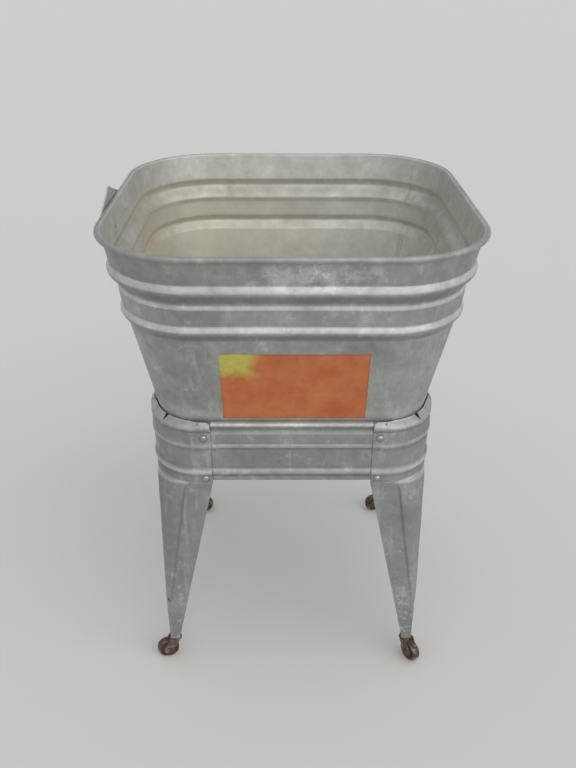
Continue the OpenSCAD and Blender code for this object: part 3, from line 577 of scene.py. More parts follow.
def leg_row(half, ridge_half, edge, ridge_w, ridge_out, crease=0.0):
    """One level line of a leg, in the back right corner: flat, crease, round ridge, crease, flat."""
    centre = ridge_half - ridge_w
    line = [(half, y) for y in np.linspace(edge, centre - CREASE_W, LEG_FLAT_STEPS)]
    for i in range(1, LEG_STEP_STEPS + 1):
        u = i / (LEG_STEP_STEPS + 1)
        level = half + (ridge_half + ridge_out - half) * float(step_curve(u))
        line.append((level - crease * math.sin(math.pi * u) ** 2, centre - CREASE_W * (1.0 - u)))
    for a in np.linspace(0.0, math.pi / 4, LEG_ARC_STEPS // 2 + 1):
        r = ridge_w + ridge_out
        line.append((centre + r * math.cos(a), centre + r * math.sin(a)))
    mirrored = [(y, x) for x, y in reversed(line[:-1])]
    return np.array(line + mirrored)


def band_row(half):
    """One level line round the band at a leg, which has no ridge."""
    return leg_row(half, half, RAIL_SHOW, half - STAND_FLAT, 0.0)


def at_height(line, z):
    """A level line as points."""
    return np.column_stack([line, np.full(len(line), z)])


def leg_flat_half(z):
    """Half-width of a leg's flats at height z: they swing out smoothly to meet the band."""
    rise = (z - SHOULDER_Z + SWING_H) / (BAND_Z - SHOULDER_Z + SWING_H + 1.0)
    return LEG_LOW_HALF + LEG_INSET * step_curve(rise)


def from_corner(count):
    """How far the points of a level line lie from the corner, as a share of the way to the seam."""
    middle = (count - 1) / 2
    return np.abs(np.arange(count) - middle) / middle


def leg_rows():
    """The level lines of a leg from foot to lip, as points, and the grime and painted shade, and wear and
    painted highlight, of each line.
    """
    rows, shades = [], []
    for z in np.linspace(FOOT_Z, SHOULDER_Z, LEG_ROWS):
        u = (z - FOOT_Z) / (SHOULDER_Z - FOOT_Z)
        v = max(0.0, (z - RIDGE_LOW_Z) / (SHOULDER_Z - RIDGE_LOW_Z))
        flare = FLARE_OUT * step_curve((z - SHOULDER_Z + FLARE_H) / FLARE_H) ** 2
        ridge_w = RIDGE_FOOT_W + (RIDGE_TOP_W - RIDGE_FOOT_W) * v + flare
        edge = (LEG_LOW_HALF - LEG_FOOT_W) + (RAIL_SHOW - LEG_LOW_HALF + LEG_FOOT_W) * u
        pressed = step_curve(v / RIDGE_FADE)
        depth = CREASE_DEPTH * pressed * step_curve((SHOULDER_Z - CREASE_END - z) / CREASE_RUN)
        line = leg_row(leg_flat_half(z), LEG_LOW_HALF, edge, ridge_w, RIDGE_OUT * pressed, depth)
        rows.append(at_height(line, z))
        # A painted highlight rising to the shoulder's edge
        shades.append((0.0, step_curve((z - SHOULDER_Z + SHOULDER_HIGHLIGHT_DROP) / SHOULDER_HIGHLIGHT_RISE)))

    # The shoulder, where the ridge flares out into the band
    top_line = rows[-1][:, :2]
    for u in SHOULDER_STEPS:
        z = SHOULDER_Z + (BAND_Z - SHOULDER_Z) * (1.0 - math.cos(u * math.pi / 2))
        half = leg_flat_half(z)
        share = math.sin(u * math.pi / 2)
        line = top_line * (1.0 - share) + band_row(half) * share
        line[:LEG_FLAT_STEPS, 0] = half
        line[-LEG_FLAT_STEPS:, 1] = half
        rows.append(at_height(line, z))
        # Painted shade across the flaring shoulder, with the highlight fading out
        shades.append((SHOULDER_SHADE * share, 1.0 - share))

    # The band, crisp beside the seams and softer round the corner, and the lip over it
    crisp, soft = band_profile(LEG_HALF, False), band_profile(LEG_HALF, False, LEG_ROUND)
    band_grime_and_shade, band_wear_and_highlight = band_shades(soft)
    near_seam = step_curve((from_corner(len(top_line)) - CRISP_FROM) / CRISP_RUN)[:, None]
    for i in range(0, len(band_z), 2):
        if band_z[i] > LIP_Z:
            break
        line = band_row(crisp[i]) * near_seam + band_row(soft[i]) * (1.0 - near_seam)
        rows.append(at_height(line, band_z[i]))
        # Painted shade in the band's hollows and painted highlight on its crests
        shades.append((LEG_BAND_SHADE * band_grime_and_shade[i], band_wear_and_highlight[i]))
    lip = lip_rows(rows[-1])
    for k in range(len(lip)):
        # Painted shadow at the lip's foot, fading up it, and a painted highlight up its roll
        shades.append((max(0.0, LIP_FOOT_SHADOW - LIP_FOOT_SHADOW_STEP * k), min(LIP_HIGHLIGHT, LIP_HIGHLIGHT_STEP * k)))
    return np.array(rows + lip), np.array(shades)


def leg_shades(points, shades):
    """Grime and painted shade over a leg, with wear and painted highlight: painted shade in its creases, less
    shade and highlight on the flats at the shoulder, painted shadow rings round its rivets, and grime at its
    foot.
    """
    count = points.shape[1]
    heights = points[..., 2]
    order = np.arange(count)
    fold = LEG_FLAT_STEPS + FOLD_STEP
    # Painted shade in the creases beside the ridge
    crease = peak(order, fold, FOLD_SPREAD) + peak(order, count - 1 - fold, FOLD_SPREAD)
    rise = np.clip((heights - RIDGE_LOW_Z) / (SHOULDER_Z - RIDGE_LOW_Z), 0.0, 1.0)
    below = step_curve((SHOULDER_Z - FOLD_SHADE_TOP - heights) / FOLD_SHADE_RUN)
    below = below * step_curve(rise / FOLD_SHADE_FADE) * (FOLD_SHADE_LEAST + FOLD_SHADE_GAIN * rise)
    on_ridge = ((order > fold) & (order < count - 1 - fold))[None, :]
    shoulder = (heights > SHOULDER_Z - SHOULDER_DROP) & (heights < BAND_Z + SHOULDER_OVER)
    flat = shoulder & ~on_ridge
    wear_and_highlight = shades[:, 1:] * np.where(flat, FLAT_WEAR_AND_HIGHLIGHT, 1.0)
    grime_and_shade = shades[:, :1] * np.where(flat, FLAT_GRIME_AND_SHADE, 1.0)
    along = np.minimum(points[..., 0], points[..., 1])
    for rivet_z in (RIVET_HIGH_Z, RIVET_LOW_Z):
        # A painted shadow ring round each rivet head
        gap = np.hypot(along - RIVET_ALONG, heights - rivet_z)
        grime_and_shade = np.maximum(grime_and_shade, RIVET_RING_SHADOW * peak(gap, RIVET_HEAD_R, RIVET_RING_SHADOW_SPREAD))
    grime_and_shade = np.maximum(grime_and_shade, FOOT_DIRT * step_curve((DIRT_Z - heights) / DIRT_RISE))
    return np.maximum(grime_and_shade, FOLD_SHADE * crease[None, :] * below), wear_and_highlight


def leg_mesh(turn):
    """One leg: a band round the stand's corner with a turned-in lip, over two faces and a pressed ridge."""
    points, shades = leg_rows()
    corner = from_corner(points.shape[1])
    for row in points:
        for c, (x, y, z) in enumerate(row):
            low = step_curve((LEG_WAVE_TOP - z) / LEG_WAVE_TOP_RUN)
            low *= step_curve((z - LEG_WAVE_LOW) / LEG_WAVE_LOW_RUN)
            band = step_curve((z - CORNER_WAVE_LOW) / CORNER_WAVE_LOW_RUN)
            band *= step_curve((CORNER_WAVE_END - corner[c]) / CORNER_WAVE_END_RUN)
            d = low * wave((x + turn, y, z), *LEG_WAVE) + band * wave((x + turn, y, z), *CORNER_WAVE)
            way = Vector((max(1.0, x - LEG_CENTRE), max(1.0, y - LEG_CENTRE))).normalized()
            row[c] = (x + d * way.x, y + d * way.y, z)
    grime_and_shade, wear_and_highlight = leg_shades(points, shades)
    rust = peak(points, np.array(RUST_SPOT), np.array(RUST_SIZE)).prod(-1)
    mesh = grid_mesh(f"leg_{turn}", turned(points, turn), {
        "rust": rust * (turn == CORNERS["front_left"]),
        "grime_and_shade": grime_and_shade,
        "wear_and_highlight": wear_and_highlight,
        "scuff": np.clip((SCUFF_Z - points[..., 2]) / SCUFF_RISE, 0.0, 1.0),
    })
    return thickened(mesh, STAND_SHEET)


# Lip: rounded off at the seams, notched at the corner, and drawn in close to the tub between
LIP_STEPS = 15
LIP_END_DROP, LIP_END_R = 7.0, 8.0
NOTCH_DEPTH, NOTCH_HALF_W = 8.5, 4.0
LIP_TURN_FROM, LIP_TURN_RUN = 12.0, 22.0
LIP_TUB_GAP, LIP_SWELL = 0.9, 1.6
LIP_ROLL_TURN, LIP_ROLL_POWER = 1.12, 1.15
LIP_BEND_FROM, LIP_BEND_RUN, LIP_CORNER_SINK = 5.0, 12.0, 0.08


def lip_rows(last):
    """Rows that carry the leg's top edge over the rail's hem and inwards round the corner, with a notch."""
    length = np.concatenate([[0.0], np.cumsum(np.linalg.norm(np.diff(last[:, :2], axis=0), axis=1))])
    from_seam = np.minimum(length, length[-1] - length)
    from_middle = np.abs(length - length[-1] / 2)
    into_end = np.clip(1.0 - from_seam / LIP_END_R, 0.0, 1.0)
    height = LIP_H - LIP_END_DROP * (1.0 - np.sqrt(1.0 - into_end ** 2))
    height -= NOTCH_DEPTH * np.clip(1.0 - from_middle / NOTCH_HALF_W, 0.0, 1.0)
    corner = step_curve((from_seam - LIP_TURN_FROM) / LIP_TURN_RUN)
    tub_half = np.interp(BAND_TOP, wall_z, wall_half)
    reach = np.maximum(0.0, last[:, :2] - TUB_FLAT)
    room = np.hypot(reach[:, 0], reach[:, 1]) - (tub_half - TUB_FLAT) - STAND_SHEET - LIP_TUB_GAP
    off_flat = np.maximum(0.0, last[:, :2] - STAND_FLAT)
    way = np.arctan2(off_flat[:, 1], off_flat[:, 0])
    rows = []
    for share in np.linspace(0.0, 1.0, LIP_STEPS)[1:]:
        up = height * share
        part = np.clip(up / LIP_H, 0.0, 1.0)
        roll = LIP_OUT * np.sin(LIP_ROLL_TURN * np.pi * part ** LIP_ROLL_POWER)
        bend = np.clip((up - LIP_BEND_FROM) / LIP_BEND_RUN, 0.0, 1.0) ** 2
        turn_in = LIP_SWELL * np.sin(np.pi * part) - room * bend
        out = roll * (1.0 - corner) + turn_in * corner
        rows.append(np.column_stack([
            last[:, 0] + out * np.cos(way), last[:, 1] + out * np.sin(way),
            LIP_Z + up * (1.0 - LIP_CORNER_SINK * corner),
        ]))
    return rows


# Materials

# Sockets and settings of a node that mixes two colours
SHARE, UNDER, OVER = 0, 6, 7
TINT = {"out": 2, "data_type": "RGBA"}


def per(size):
    """Scale of a pattern whose features are about size millimetres across."""
    return 1.0 / (size * MM)


def linear(code):
    """A colour written as an sRGB hex value, in linear light."""
    parts = [int(code[i:i + 2], 16) / 255.0 for i in (1, 3, 5)]
    return (*[p / 12.92 if p <= 0.04045 else ((p + 0.055) / 1.055) ** 2.4 for p in parts], 1.0)


def blank_material(name):
    """An empty material, its tree, and the place that its patterns are measured from."""
    material = bpy.data.materials.new(name)
    material.use_nodes = True
    tree = material.node_tree
    tree.nodes.clear()
    return material, tree, add(tree, "ShaderNodeTexCoord", out="Object")


def galvanised(name, shade="#8b8e8a", pale="#a2a5a1", stand=False, tub=False, metal=0.5):
    """Hot-dipped galvanised sheet gone dull: zinc spangle about 10 mm across under a grey bloom, chalky white
    on worn crests with painted highlight there, small white chips, and grime with painted shade in the
    hollows."""
    material, tree, place = blank_material(name)
    spangle = add(tree, "ShaderNodeTexVoronoi", {"Vector": place, "Scale": per(10)}, out="Color")
    bloom = add(tree, "ShaderNodeTexNoise", {
        "Vector": place, "Scale": per(60), "Detail": 9.0, "Roughness": 0.66,
    })
    upright = add(tree, "ShaderNodeMapping", {"Vector": place, "Scale": (1.0, 1.0, 0.14)})
    runs = add(tree, "ShaderNodeTexNoise", {
        "Vector": upright, "Scale": per(16), "Detail": 5.0, "Roughness": 0.6,
    })
    chalk = add(tree, "ShaderNodeTexNoise", {
        "Vector": place, "Scale": per(30), "Detail": 10.0, "Roughness": 0.7,
    })
    chips = add(tree, "ShaderNodeTexNoise", {
        "Vector": place, "Scale": per(11), "Detail": 8.0, "Roughness": 0.75,
    })
    grain = add(tree, "ShaderNodeTexNoise", {"Vector": place, "Scale": per(1.6), "Detail": 3.0})
    # grime_and_shade carries painted shade in hollows, creases and undersides, together with real grime
    grime_and_shade = add(tree, "ShaderNodeAttribute", out="Fac", attribute_name="grime_and_shade")
    # wear_and_highlight carries painted highlight on crests and edges that face the light, together with real
    # wear
    wear_and_highlight = add(tree, "ShaderNodeAttribute", out="Fac", attribute_name="wear_and_highlight")
    scuff = add(tree, "ShaderNodeAttribute", out="Fac", attribute_name="scuff")

    # Grey bloom, with broad lighter fields, and each flake of zinc a little lighter or darker
    fields = add(tree, "ShaderNodeTexNoise", {"Vector": place, "Scale": per(170), "Detail": 2.0})
    clouds = add(tree, "ShaderNodeMath", {0: fields, 1: 0.8, 2: bloom}, operation="MULTIPLY_ADD")
    clouds = add(tree, "ShaderNodeMapRange", {"Value": clouds, "From Min": 0.72, "From Max": 1.10})
    colour = add(tree, "ShaderNodeMix", {SHARE: clouds, UNDER: linear(shade), OVER: linear(pale)}, **TINT)
    flake = add(tree, "ShaderNodeSeparateColor", {0: spangle})
    flake = add(tree, "ShaderNodeMapRange", {"Value": flake, "To Min": 0.92, "To Max": 1.05})
    flake = add(tree, "ShaderNodeCombineColor", {0: flake, 1: flake, 2: flake})
    colour = add(tree, "ShaderNodeMix", {
        SHARE: 1.0, UNDER: colour, OVER: flake,
    }, **TINT, blend_type="MULTIPLY")

    # Pale runs, chalk and painted highlight on the crests, and small chips
    streak = add(tree, "ShaderNodeMapRange", {
        "Value": runs, "From Min": 0.54, "From Max": 0.72, "To Max": 0.32,
    })
    colour = add(tree, "ShaderNodeMix", {SHARE: streak, UNDER: colour, OVER: linear("#c3c6c3")}, **TINT)
    knock = 0.24 if tub else 0.0
    knocked = add(tree, "ShaderNodeMath", {0: scuff, 1: knock, 2: chalk}, operation="MULTIPLY_ADD")
    patches = add(tree, "ShaderNodeMapRange", {
        "Value": knocked, "From Min": 0.58, "From Max": 0.70, "To Max": 0.45,
    })
    crests = add(tree, "ShaderNodeMapRange", {
        "Value": chalk, "From Min": 0.30, "From Max": 0.62, "To Min": 0.30, "To Max": 0.82,
    })
    crests = add(tree, "ShaderNodeMath", {0: wear_and_highlight, 1: crests}, operation="MULTIPLY")
    rubbed = add(tree, "ShaderNodeMath", {0: patches, 1: crests}, operation="ADD", use_clamp=True)
    # Pale mix of knocked patches, and of chalk with painted highlight on the crests
    colour = add(tree, "ShaderNodeMix", {SHARE: rubbed, UNDER: colour, OVER: linear("#cdcfcb")}, **TINT)
    worn = add(tree, "ShaderNodeMath", {0: wear_and_highlight, 1: 0.06, 2: chips}, operation="MULTIPLY_ADD")
    worn = add(tree, "ShaderNodeMath", {0: scuff, 1: 0.13, 2: worn}, operation="MULTIPLY_ADD")
    bare = add(tree, "ShaderNodeMapRange", {"Value": worn, "From Min": 0.67, "From Max": 0.71, "To Max": 0.5})
    colour = add(tree, "ShaderNodeMix", {SHARE: bare, UNDER: colour, OVER: linear("#d9dad7")}, **TINT)

    # Grime and painted shade in the hollows, and dark specks
    dirt_and_shade = add(tree, "ShaderNodeMapRange", {
        "Value": runs, "From Min": 0.30, "From Max": 0.62, "To Min": 0.13, "To Max": 0.38,
    })
    dirt_and_shade = add(tree, "ShaderNodeMath", {0: grime_and_shade, 1: dirt_and_shade}, operation="MULTIPLY")
    colour = add(tree, "ShaderNodeMix", {SHARE: dirt_and_shade, UNDER: colour, OVER: linear("#585a55")}, **TINT)
    specks = add(tree, "ShaderNodeTexNoise", {
        "Vector": place, "Scale": per(7), "Detail": 4.0, "Roughness": 0.6,
    })
    specks = add(tree, "ShaderNodeMapRange", {
        "Value": specks, "From Min": 0.735, "From Max": 0.77, "To Max": 0.6,
    })
    colour = add(tree, "ShaderNodeMix", {SHARE: specks, UNDER: colour, OVER: linear("#5b5750")}, **TINT)

    if tub:
        # The inside is paler, more so lower down: partly cleaner zinc, partly painted light that lifts the
        # shade inside the tub; with a beige scale of old wash water to the back and left
        inside = add(tree, "ShaderNodeAttribute", out="Fac", attribute_name="inside")
        x, y, z = add(tree, "ShaderNodeSeparateXYZ", {0: place}).node.outputs
        deep = add(tree, "ShaderNodeMapRange", {
            "Value": z, "From Min": 775 * MM, "From Max": 640 * MM, "To Min": 0.44, "To Max": 0.80,
        })
        clean_and_fill_light = add(tree, "ShaderNodeMath", {0: inside, 1: deep}, operation="MULTIPLY")
        blotch = add(tree, "ShaderNodeMapRange", {"Value": chalk, "From Min": 0.36, "From Max": 0.64})
        washed = add(tree, "ShaderNodeMix", {
            SHARE: blotch, UNDER: linear("#c8c8be"), OVER: linear("#dbdbd1"),
        }, **TINT)
        colour = add(tree, "ShaderNodeMix", {SHARE: clean_and_fill_light, UNDER: colour, OVER: washed}, **TINT)
        left = add(tree, "ShaderNodeMapRange", {"Value": x, "From Min": 100 * MM, "From Max": -220 * MM})
        back = add(tree, "ShaderNodeMapRange", {"Value": y, "From Min": -120 * MM, "From Max": 140 * MM})
        under = add(tree, "ShaderNodeMapRange", {"Value": z, "From Min": 775 * MM, "From Max": 700 * MM})
        mottle = add(tree, "ShaderNodeMapRange", {
            "Value": bloom, "From Min": 0.30, "From Max": 0.62, "To Min": 0.20, "To Max": 0.75,
        })
        scale = left
        for share in (back, under, inside, mottle):
            scale = add(tree, "ShaderNodeMath", {0: scale, 1: share}, operation="MULTIPLY")
        colour = add(tree, "ShaderNodeMix", {SHARE: scale, UNDER: colour, OVER: linear("#d3c9b0")}, **TINT)
        # Painted shade deepened in the inside's hollows and creases
        crease = add(tree, "ShaderNodeMath", {0: dirt_and_shade, 1: inside}, operation="MULTIPLY")
        crease = add(tree, "ShaderNodeMath", {0: crease, 1: 0.5}, operation="MULTIPLY")
        colour = add(tree, "ShaderNodeMix", {SHARE: crease, UNDER: colour, OVER: linear("#5f5e57")}, **TINT)
    if stand:
        # Rust breaks through in spots, more of it lower down
        spots = add(tree, "ShaderNodeTexNoise", {
            "Vector": place, "Scale": per(23), "Detail": 6.0, "Roughness": 0.7,
        })
        spots = add(tree, "ShaderNodeMath", {0: scuff, 1: 0.05, 2: spots}, operation="MULTIPLY_ADD")
        spot = add(tree, "ShaderNodeAttribute", out="Fac", attribute_name="rust")
        spots = add(tree, "ShaderNodeMath", {0: spot, 1: 0.30, 2: spots}, operation="MULTIPLY_ADD")
        rusted = add(tree, "ShaderNodeMapRange", {
            "Value": spots, "From Min": 0.735, "From Max": 0.775, "To Max": 0.8,
        })
        colour = add(tree, "ShaderNodeMix", {SHARE: rusted, UNDER: colour, OVER: linear("#74503a")}, **TINT)

    shine = 0.6 * metal
    rough = add(tree, "ShaderNodeMapRange", {
        "Value": bloom, "From Min": 0.30, "From Max": 0.70, "To Min": 0.90 - shine, "To Max": 0.74 - shine,
    })
    skin = add(tree, "ShaderNodeBump", {"Strength": 0.35, "Distance": 0.4 * MM, "Height": grain})
    pits = add(tree, "ShaderNodeBump", {
        "Strength": 0.5, "Distance": 0.6 * MM, "Height": chalk, "Normal": skin,
    })
    zinc = add(tree, "ShaderNodeBsdfPrincipled", {
        "Base Color": colour, "Roughness": rough, "Metallic": metal, "Normal": pits,
    })
    add(tree, "ShaderNodeOutputMaterial", {0: zinc})
    return material


def rusted_steel(name, dark="#43372f", brown="#735d4d", bright="#967257", grey="#968c80"):
    """Pressed steel gone to rust: dark scale, brown and orange bloom, and worn grey zinc. Dull and pitted."""
    material, tree, place = blank_material(name)
    broad = add(tree, "ShaderNodeTexNoise", {
        "Vector": place, "Scale": per(12), "Detail": 8.0, "Roughness": 0.65,
    })
    fine = add(tree, "ShaderNodeTexNoise", {
        "Vector": place, "Scale": per(2.5), "Detail": 6.0, "Roughness": 0.7,
    })
    scale = add(tree, "ShaderNodeMapRange", {"Value": broad, "From Min": 0.36, "From Max": 0.62})
    colour = add(tree, "ShaderNodeMix", {SHARE: scale, UNDER: linear(dark), OVER: linear(brown)}, **TINT)
    orange = add(tree, "ShaderNodeMapRange", {"Value": fine, "From Min": 0.55, "From Max": 0.72})
    colour = add(tree, "ShaderNodeMix", {SHARE: orange, UNDER: colour, OVER: linear(bright)}, **TINT)
    zinc = add(tree, "ShaderNodeMapRange", {
        "Value": broad, "From Min": 0.53, "From Max": 0.63, "To Max": 0.85,
    })
    colour = add(tree, "ShaderNodeMix", {SHARE: zinc, UNDER: colour, OVER: linear(grey)}, **TINT)
    rough = add(tree, "ShaderNodeMapRange", {
        "Value": fine, "From Min": 0.3, "From Max": 0.7, "To Min": 0.95, "To Max": 0.7,
    })
    pitted = add(tree, "ShaderNodeBump", {"Strength": 0.8, "Distance": 0.7 * MM, "Height": fine})
    steel = add(tree, "ShaderNodeBsdfPrincipled", {
        "Base Color": colour, "Roughness": rough, "Normal": pitted,
    })
    add(tree, "ShaderNodeOutputMaterial", {0: steel})
    return material


def drain_brass(name):
    """Turned brass gone brown with age: dull gold with dark tarnish."""
    material, tree, place = blank_material(name)
    tarnish = add(tree, "ShaderNodeTexNoise", {
        "Vector": place, "Scale": per(9), "Detail": 7.0, "Roughness": 0.65,
    })
    share = add(tree, "ShaderNodeMapRange", {"Value": tarnish, "From Min": 0.38, "From Max": 0.64})
    colour = add(tree, "ShaderNodeMix", {
        SHARE: share, UNDER: linear("#b08f52"), OVER: linear("#6b5531"),
    }, **TINT)
    rough = add(tree, "ShaderNodeMapRange", {
        "Value": tarnish, "From Min": 0.3, "From Max": 0.7, "To Min": 0.32, "To Max": 0.6,
    })
    brass = add(tree, "ShaderNodeBsdfPrincipled", {"Base Color": colour, "Metallic": 1.0, "Roughness": rough})
    add(tree, "ShaderNodeOutputMaterial", {0: brass})
    return material


def gasket_rubber(name):
    """Black moulded rubber with a grey bloom."""
    material, tree, place = blank_material(name)
    dust = add(tree, "ShaderNodeTexNoise", {"Vector": place, "Scale": per(6), "Detail": 6.0})
    share = add(tree, "ShaderNodeMapRange", {"Value": dust, "From Min": 0.42, "From Max": 0.7})
    colour = add(tree, "ShaderNodeMix", {
        SHARE: share, UNDER: linear("#1d1c1b"), OVER: linear("#3a3937"),
    }, **TINT)
    rubber = add(tree, "ShaderNodeBsdfPrincipled", {"Base Color": colour, "Roughness": 0.75})
    add(tree, "ShaderNodeOutputMaterial", {0: rubber})
    return material


def label_paper(name):
    """Orange label paper, faded and rubbed, with its yellow stock showing at one torn corner."""
    material, tree, place = blank_material(name)
    fade = add(tree, "ShaderNodeTexNoise", {
        "Vector": place, "Scale": per(45), "Detail": 8.0, "Roughness": 0.65,
    })
    flecks = add(tree, "ShaderNodeTexNoise", {
        "Vector": place, "Scale": per(6), "Detail": 8.0, "Roughness": 0.75,
    })
    tear = add(tree, "ShaderNodeTexNoise", {
        "Vector": place, "Scale": per(20), "Detail": 2.0, "Roughness": 0.5,
    })
    fibre = add(tree, "ShaderNodeTexNoise", {"Vector": place, "Scale": per(1.2), "Detail": 3.0})
    lost = add(tree, "ShaderNodeAttribute", out="Fac", attribute_name="lost")
    rim = add(tree, "ShaderNodeAttribute", out="Fac", attribute_name="rim")
    faded = add(tree, "ShaderNodeMapRange", {"Value": fade, "From Min": 0.35, "From Max": 0.66})
    colour = add(tree, "ShaderNodeMix", {
        SHARE: faded, UNDER: linear("#ad5a2d"), OVER: linear("#c07341"),
    }, **TINT)
    rubbed = add(tree, "ShaderNodeMapRange", {
        "Value": flecks, "From Min": 0.62, "From Max": 0.74, "To Max": 0.6,
    })
    colour = add(tree, "ShaderNodeMix", {SHARE: rubbed, UNDER: colour, OVER: linear("#d3a77c")}, **TINT)
    brown = add(tree, "ShaderNodeMath", {0: rim, 1: 0.4}, operation="MULTIPLY")
    colour = add(tree, "ShaderNodeMix", {SHARE: brown, UNDER: colour, OVER: linear("#8a4a2a")}, **TINT)
    ragged = add(tree, "ShaderNodeMapRange", {
        "Value": tear, "From Min": 0.3, "From Max": 0.7, "To Min": -0.06, "To Max": 0.06,
    })
    ragged = add(tree, "ShaderNodeMath", {0: lost, 1: ragged}, operation="ADD")
    torn = add(tree, "ShaderNodeMapRange", {"Value": ragged, "From Min": 0.40, "From Max": 0.60})
    mealy = add(tree, "ShaderNodeMapRange", {"Value": flecks, "From Min": 0.4, "From Max": 0.66})
    stock = add(tree, "ShaderNodeMix", {
        SHARE: mealy, UNDER: linear("#b2a641"), OVER: linear("#beb35c"),
    }, **TINT)
    colour = add(tree, "ShaderNodeMix", {SHARE: torn, UNDER: colour, OVER: stock}, **TINT)
    rough_paper = add(tree, "ShaderNodeBump", {"Strength": 0.3, "Distance": 0.2 * MM, "Height": fibre})
    paper = add(tree, "ShaderNodeBsdfPrincipled", {
        "Base Color": colour, "Roughness": 0.62, "Normal": rough_paper,
    })
    add(tree, "ShaderNodeOutputMaterial", {0: paper})
    return material


# Label: a bare sheet of paper stuck flat on the front wall

LABEL_LEFT, LABEL_RIGHT, LABEL_LOW, LABEL_HIGH = -103.3, 110.4, 511.2, 632.6
LABEL_ROWS, LABEL_COLUMNS = 44, 86
LABEL_SHEET, LABEL_GAP, LABEL_RIM_W = 0.15, 0.32, 3.0
TORN_W, TORN_H = 46.0, 36.0
# Roughness of its upright and level edges and its bubbles, as depth, length and seed
UPRIGHT_EDGE, LEVEL_EDGE, EDGE_APART = (0.9, 7.0, 2.2), (0.8, 9.0, 6.1), 50.0
BUBBLES = (0.22, 22.0, 8.3)


def label_mesh():
    """The paper, following the wall, with rough edges and slight bubbles."""
    wide, high = LABEL_RIGHT - LABEL_LEFT, LABEL_HIGH - LABEL_LOW
    points = np.zeros((LABEL_ROWS, LABEL_COLUMNS, 3))
    lost = np.zeros((LABEL_ROWS, LABEL_COLUMNS))
    rim = np.zeros((LABEL_ROWS, LABEL_COLUMNS))
    for r in range(LABEL_ROWS):
        for c in range(LABEL_COLUMNS):
            u, v = c / (LABEL_COLUMNS - 1), r / (LABEL_ROWS - 1)
            x, z = LABEL_LEFT + wide * u, LABEL_LOW + high * v
            if u in (0.0, 1.0):
                x += wave((0.0, EDGE_APART * u, z), *UPRIGHT_EDGE)
            if v in (0.0, 1.0):
                z += wave((x, EDGE_APART * v, 0.0), *LEVEL_EDGE)
            half = np.interp(z, wall_z, wall_half)
            half += wall_wave(x, -half, z)
            bubble = max(0.0, wave((x, 0.0, z), *BUBBLES))
            points[r, c] = (x, -half - LABEL_GAP - bubble, z)
            away = min(u * wide, (1.0 - u) * wide, v * high, (1.0 - v) * high)
            rim[r, c] = max(0.0, 1.0 - away / LABEL_RIM_W)
            lost[r, c] = 1.0 - 0.5 * max(u * wide / TORN_W, (1.0 - v) * high / TORN_H)
    mesh = grid_mesh("label_sheet", points, {"lost": lost, "rim": rim})
    return thickened(mesh, LABEL_SHEET)


# Rivets: one dome put at every place by a tree of nodes

def rivet_tree(material):
    """Domes on the points of a mesh, turned the way that each point's attribute says, no two quite alike."""
    tree, given = blank_tree("dome_rivets", ("Head radius", "Head height"))
    dots = add(tree, "GeometryNodeMeshToPoints", {"Mesh": given["Geometry"]})
    dome = add(tree, "GeometryNodeMeshUVSphere", {"Segments": 24, "Rings": 14, "Radius": 1.0})
    shape = add(tree, "ShaderNodeCombineXYZ", {
        0: given["Head radius"], 1: given["Head radius"], 2: given["Head height"],
    })
    head = add(tree, "GeometryNodeTransform", {"Geometry": dome, "Scale": shape})
    way = add(tree, "GeometryNodeInputNamedAttribute", {"Name": "way"}, data_type="FLOAT_VECTOR")
    aim = add(tree, "FunctionNodeAlignRotationToVector", {"Vector": way}, axis="Z")
    hammered = add(tree, "FunctionNodeRandomValue", {2: 0.94, 3: 1.05, "Seed": 7}, out=1, data_type="FLOAT")
    put = add(tree, "GeometryNodeInstanceOnPoints", {
        "Points": dots, "Instance": head, "Rotation": aim, "Scale": hammered,
    })
    real = add(tree, "GeometryNodeRealizeInstances", {0: put})
    zinc = add(tree, "GeometryNodeSetMaterial", {"Geometry": real, "Material": material})
    add(tree, "NodeGroupOutput", {0: zinc})
    return tree


def rivets(name, places, ways, head_r, head_h, tree):
    """The rivets of one body as a plain mesh."""
    mesh = bpy.data.meshes.new(name)
    mesh.from_pydata((np.array(places) * MM).tolist(), [], [])
    layer = mesh.attributes.new("way", "FLOAT_VECTOR", "POINT")
    layer.data.foreach_set("vector", np.array(ways, np.float32).reshape(-1))
    return noded(name, mesh, tree, {"Head radius": head_r * MM, "Head height": head_h * MM})


# Pieces

zinc_tub = galvanised("galvanised_sheet_tub", tub=True)
zinc_stand = galvanised("galvanised_sheet_stand", shade="#848783", pale="#989b96", stand=True)
zinc_rivet = galvanised("galvanised_rivet", shade="#959995", pale="#aeb1ad", metal=0.9)
zinc_floor = galvanised("galvanised_sheet_floor", shade="#a9aaa1", pale="#bdbdb3")
# The side plate is made paler: painted light on its face that is turned from the lamps
zinc_plate_lightened = galvanised("galvanised_sheet_plate_lightened", shade="#a3a6a2", pale="#b9bcb8")
caster_rust = rusted_steel("rusted_caster_steel")
wheel_iron = rusted_steel(
    "worn_wheel_iron", dark="#372e28", brown="#5e4d41", bright="#826651", grey="#857b6f",
)
old_brass = drain_brass("tarnished_brass")
black_rubber = gasket_rubber("gasket_rubber")
orange_paper = label_paper("orange_label_paper")

piece("tub_shell", tub_shell_mesh(zinc_tub), "tub", zinc_tub, ["tub_wall"])
piece("lock_seam", lock_seam_mesh(), "tub", zinc_tub, ["wall_seam"])
piece("paper_label", label_mesh(), "tub", orange_paper)
for side, turn in SIDES.items():
    piece("stand_rail_" + side, rail_mesh(turn), "stand", zinc_stand, ["rail_" + side])
for corner, turn in CORNERS.items():
    piece("stand_leg_" + corner, leg_mesh(turn), "stand", zinc_stand, ["leg_" + corner])

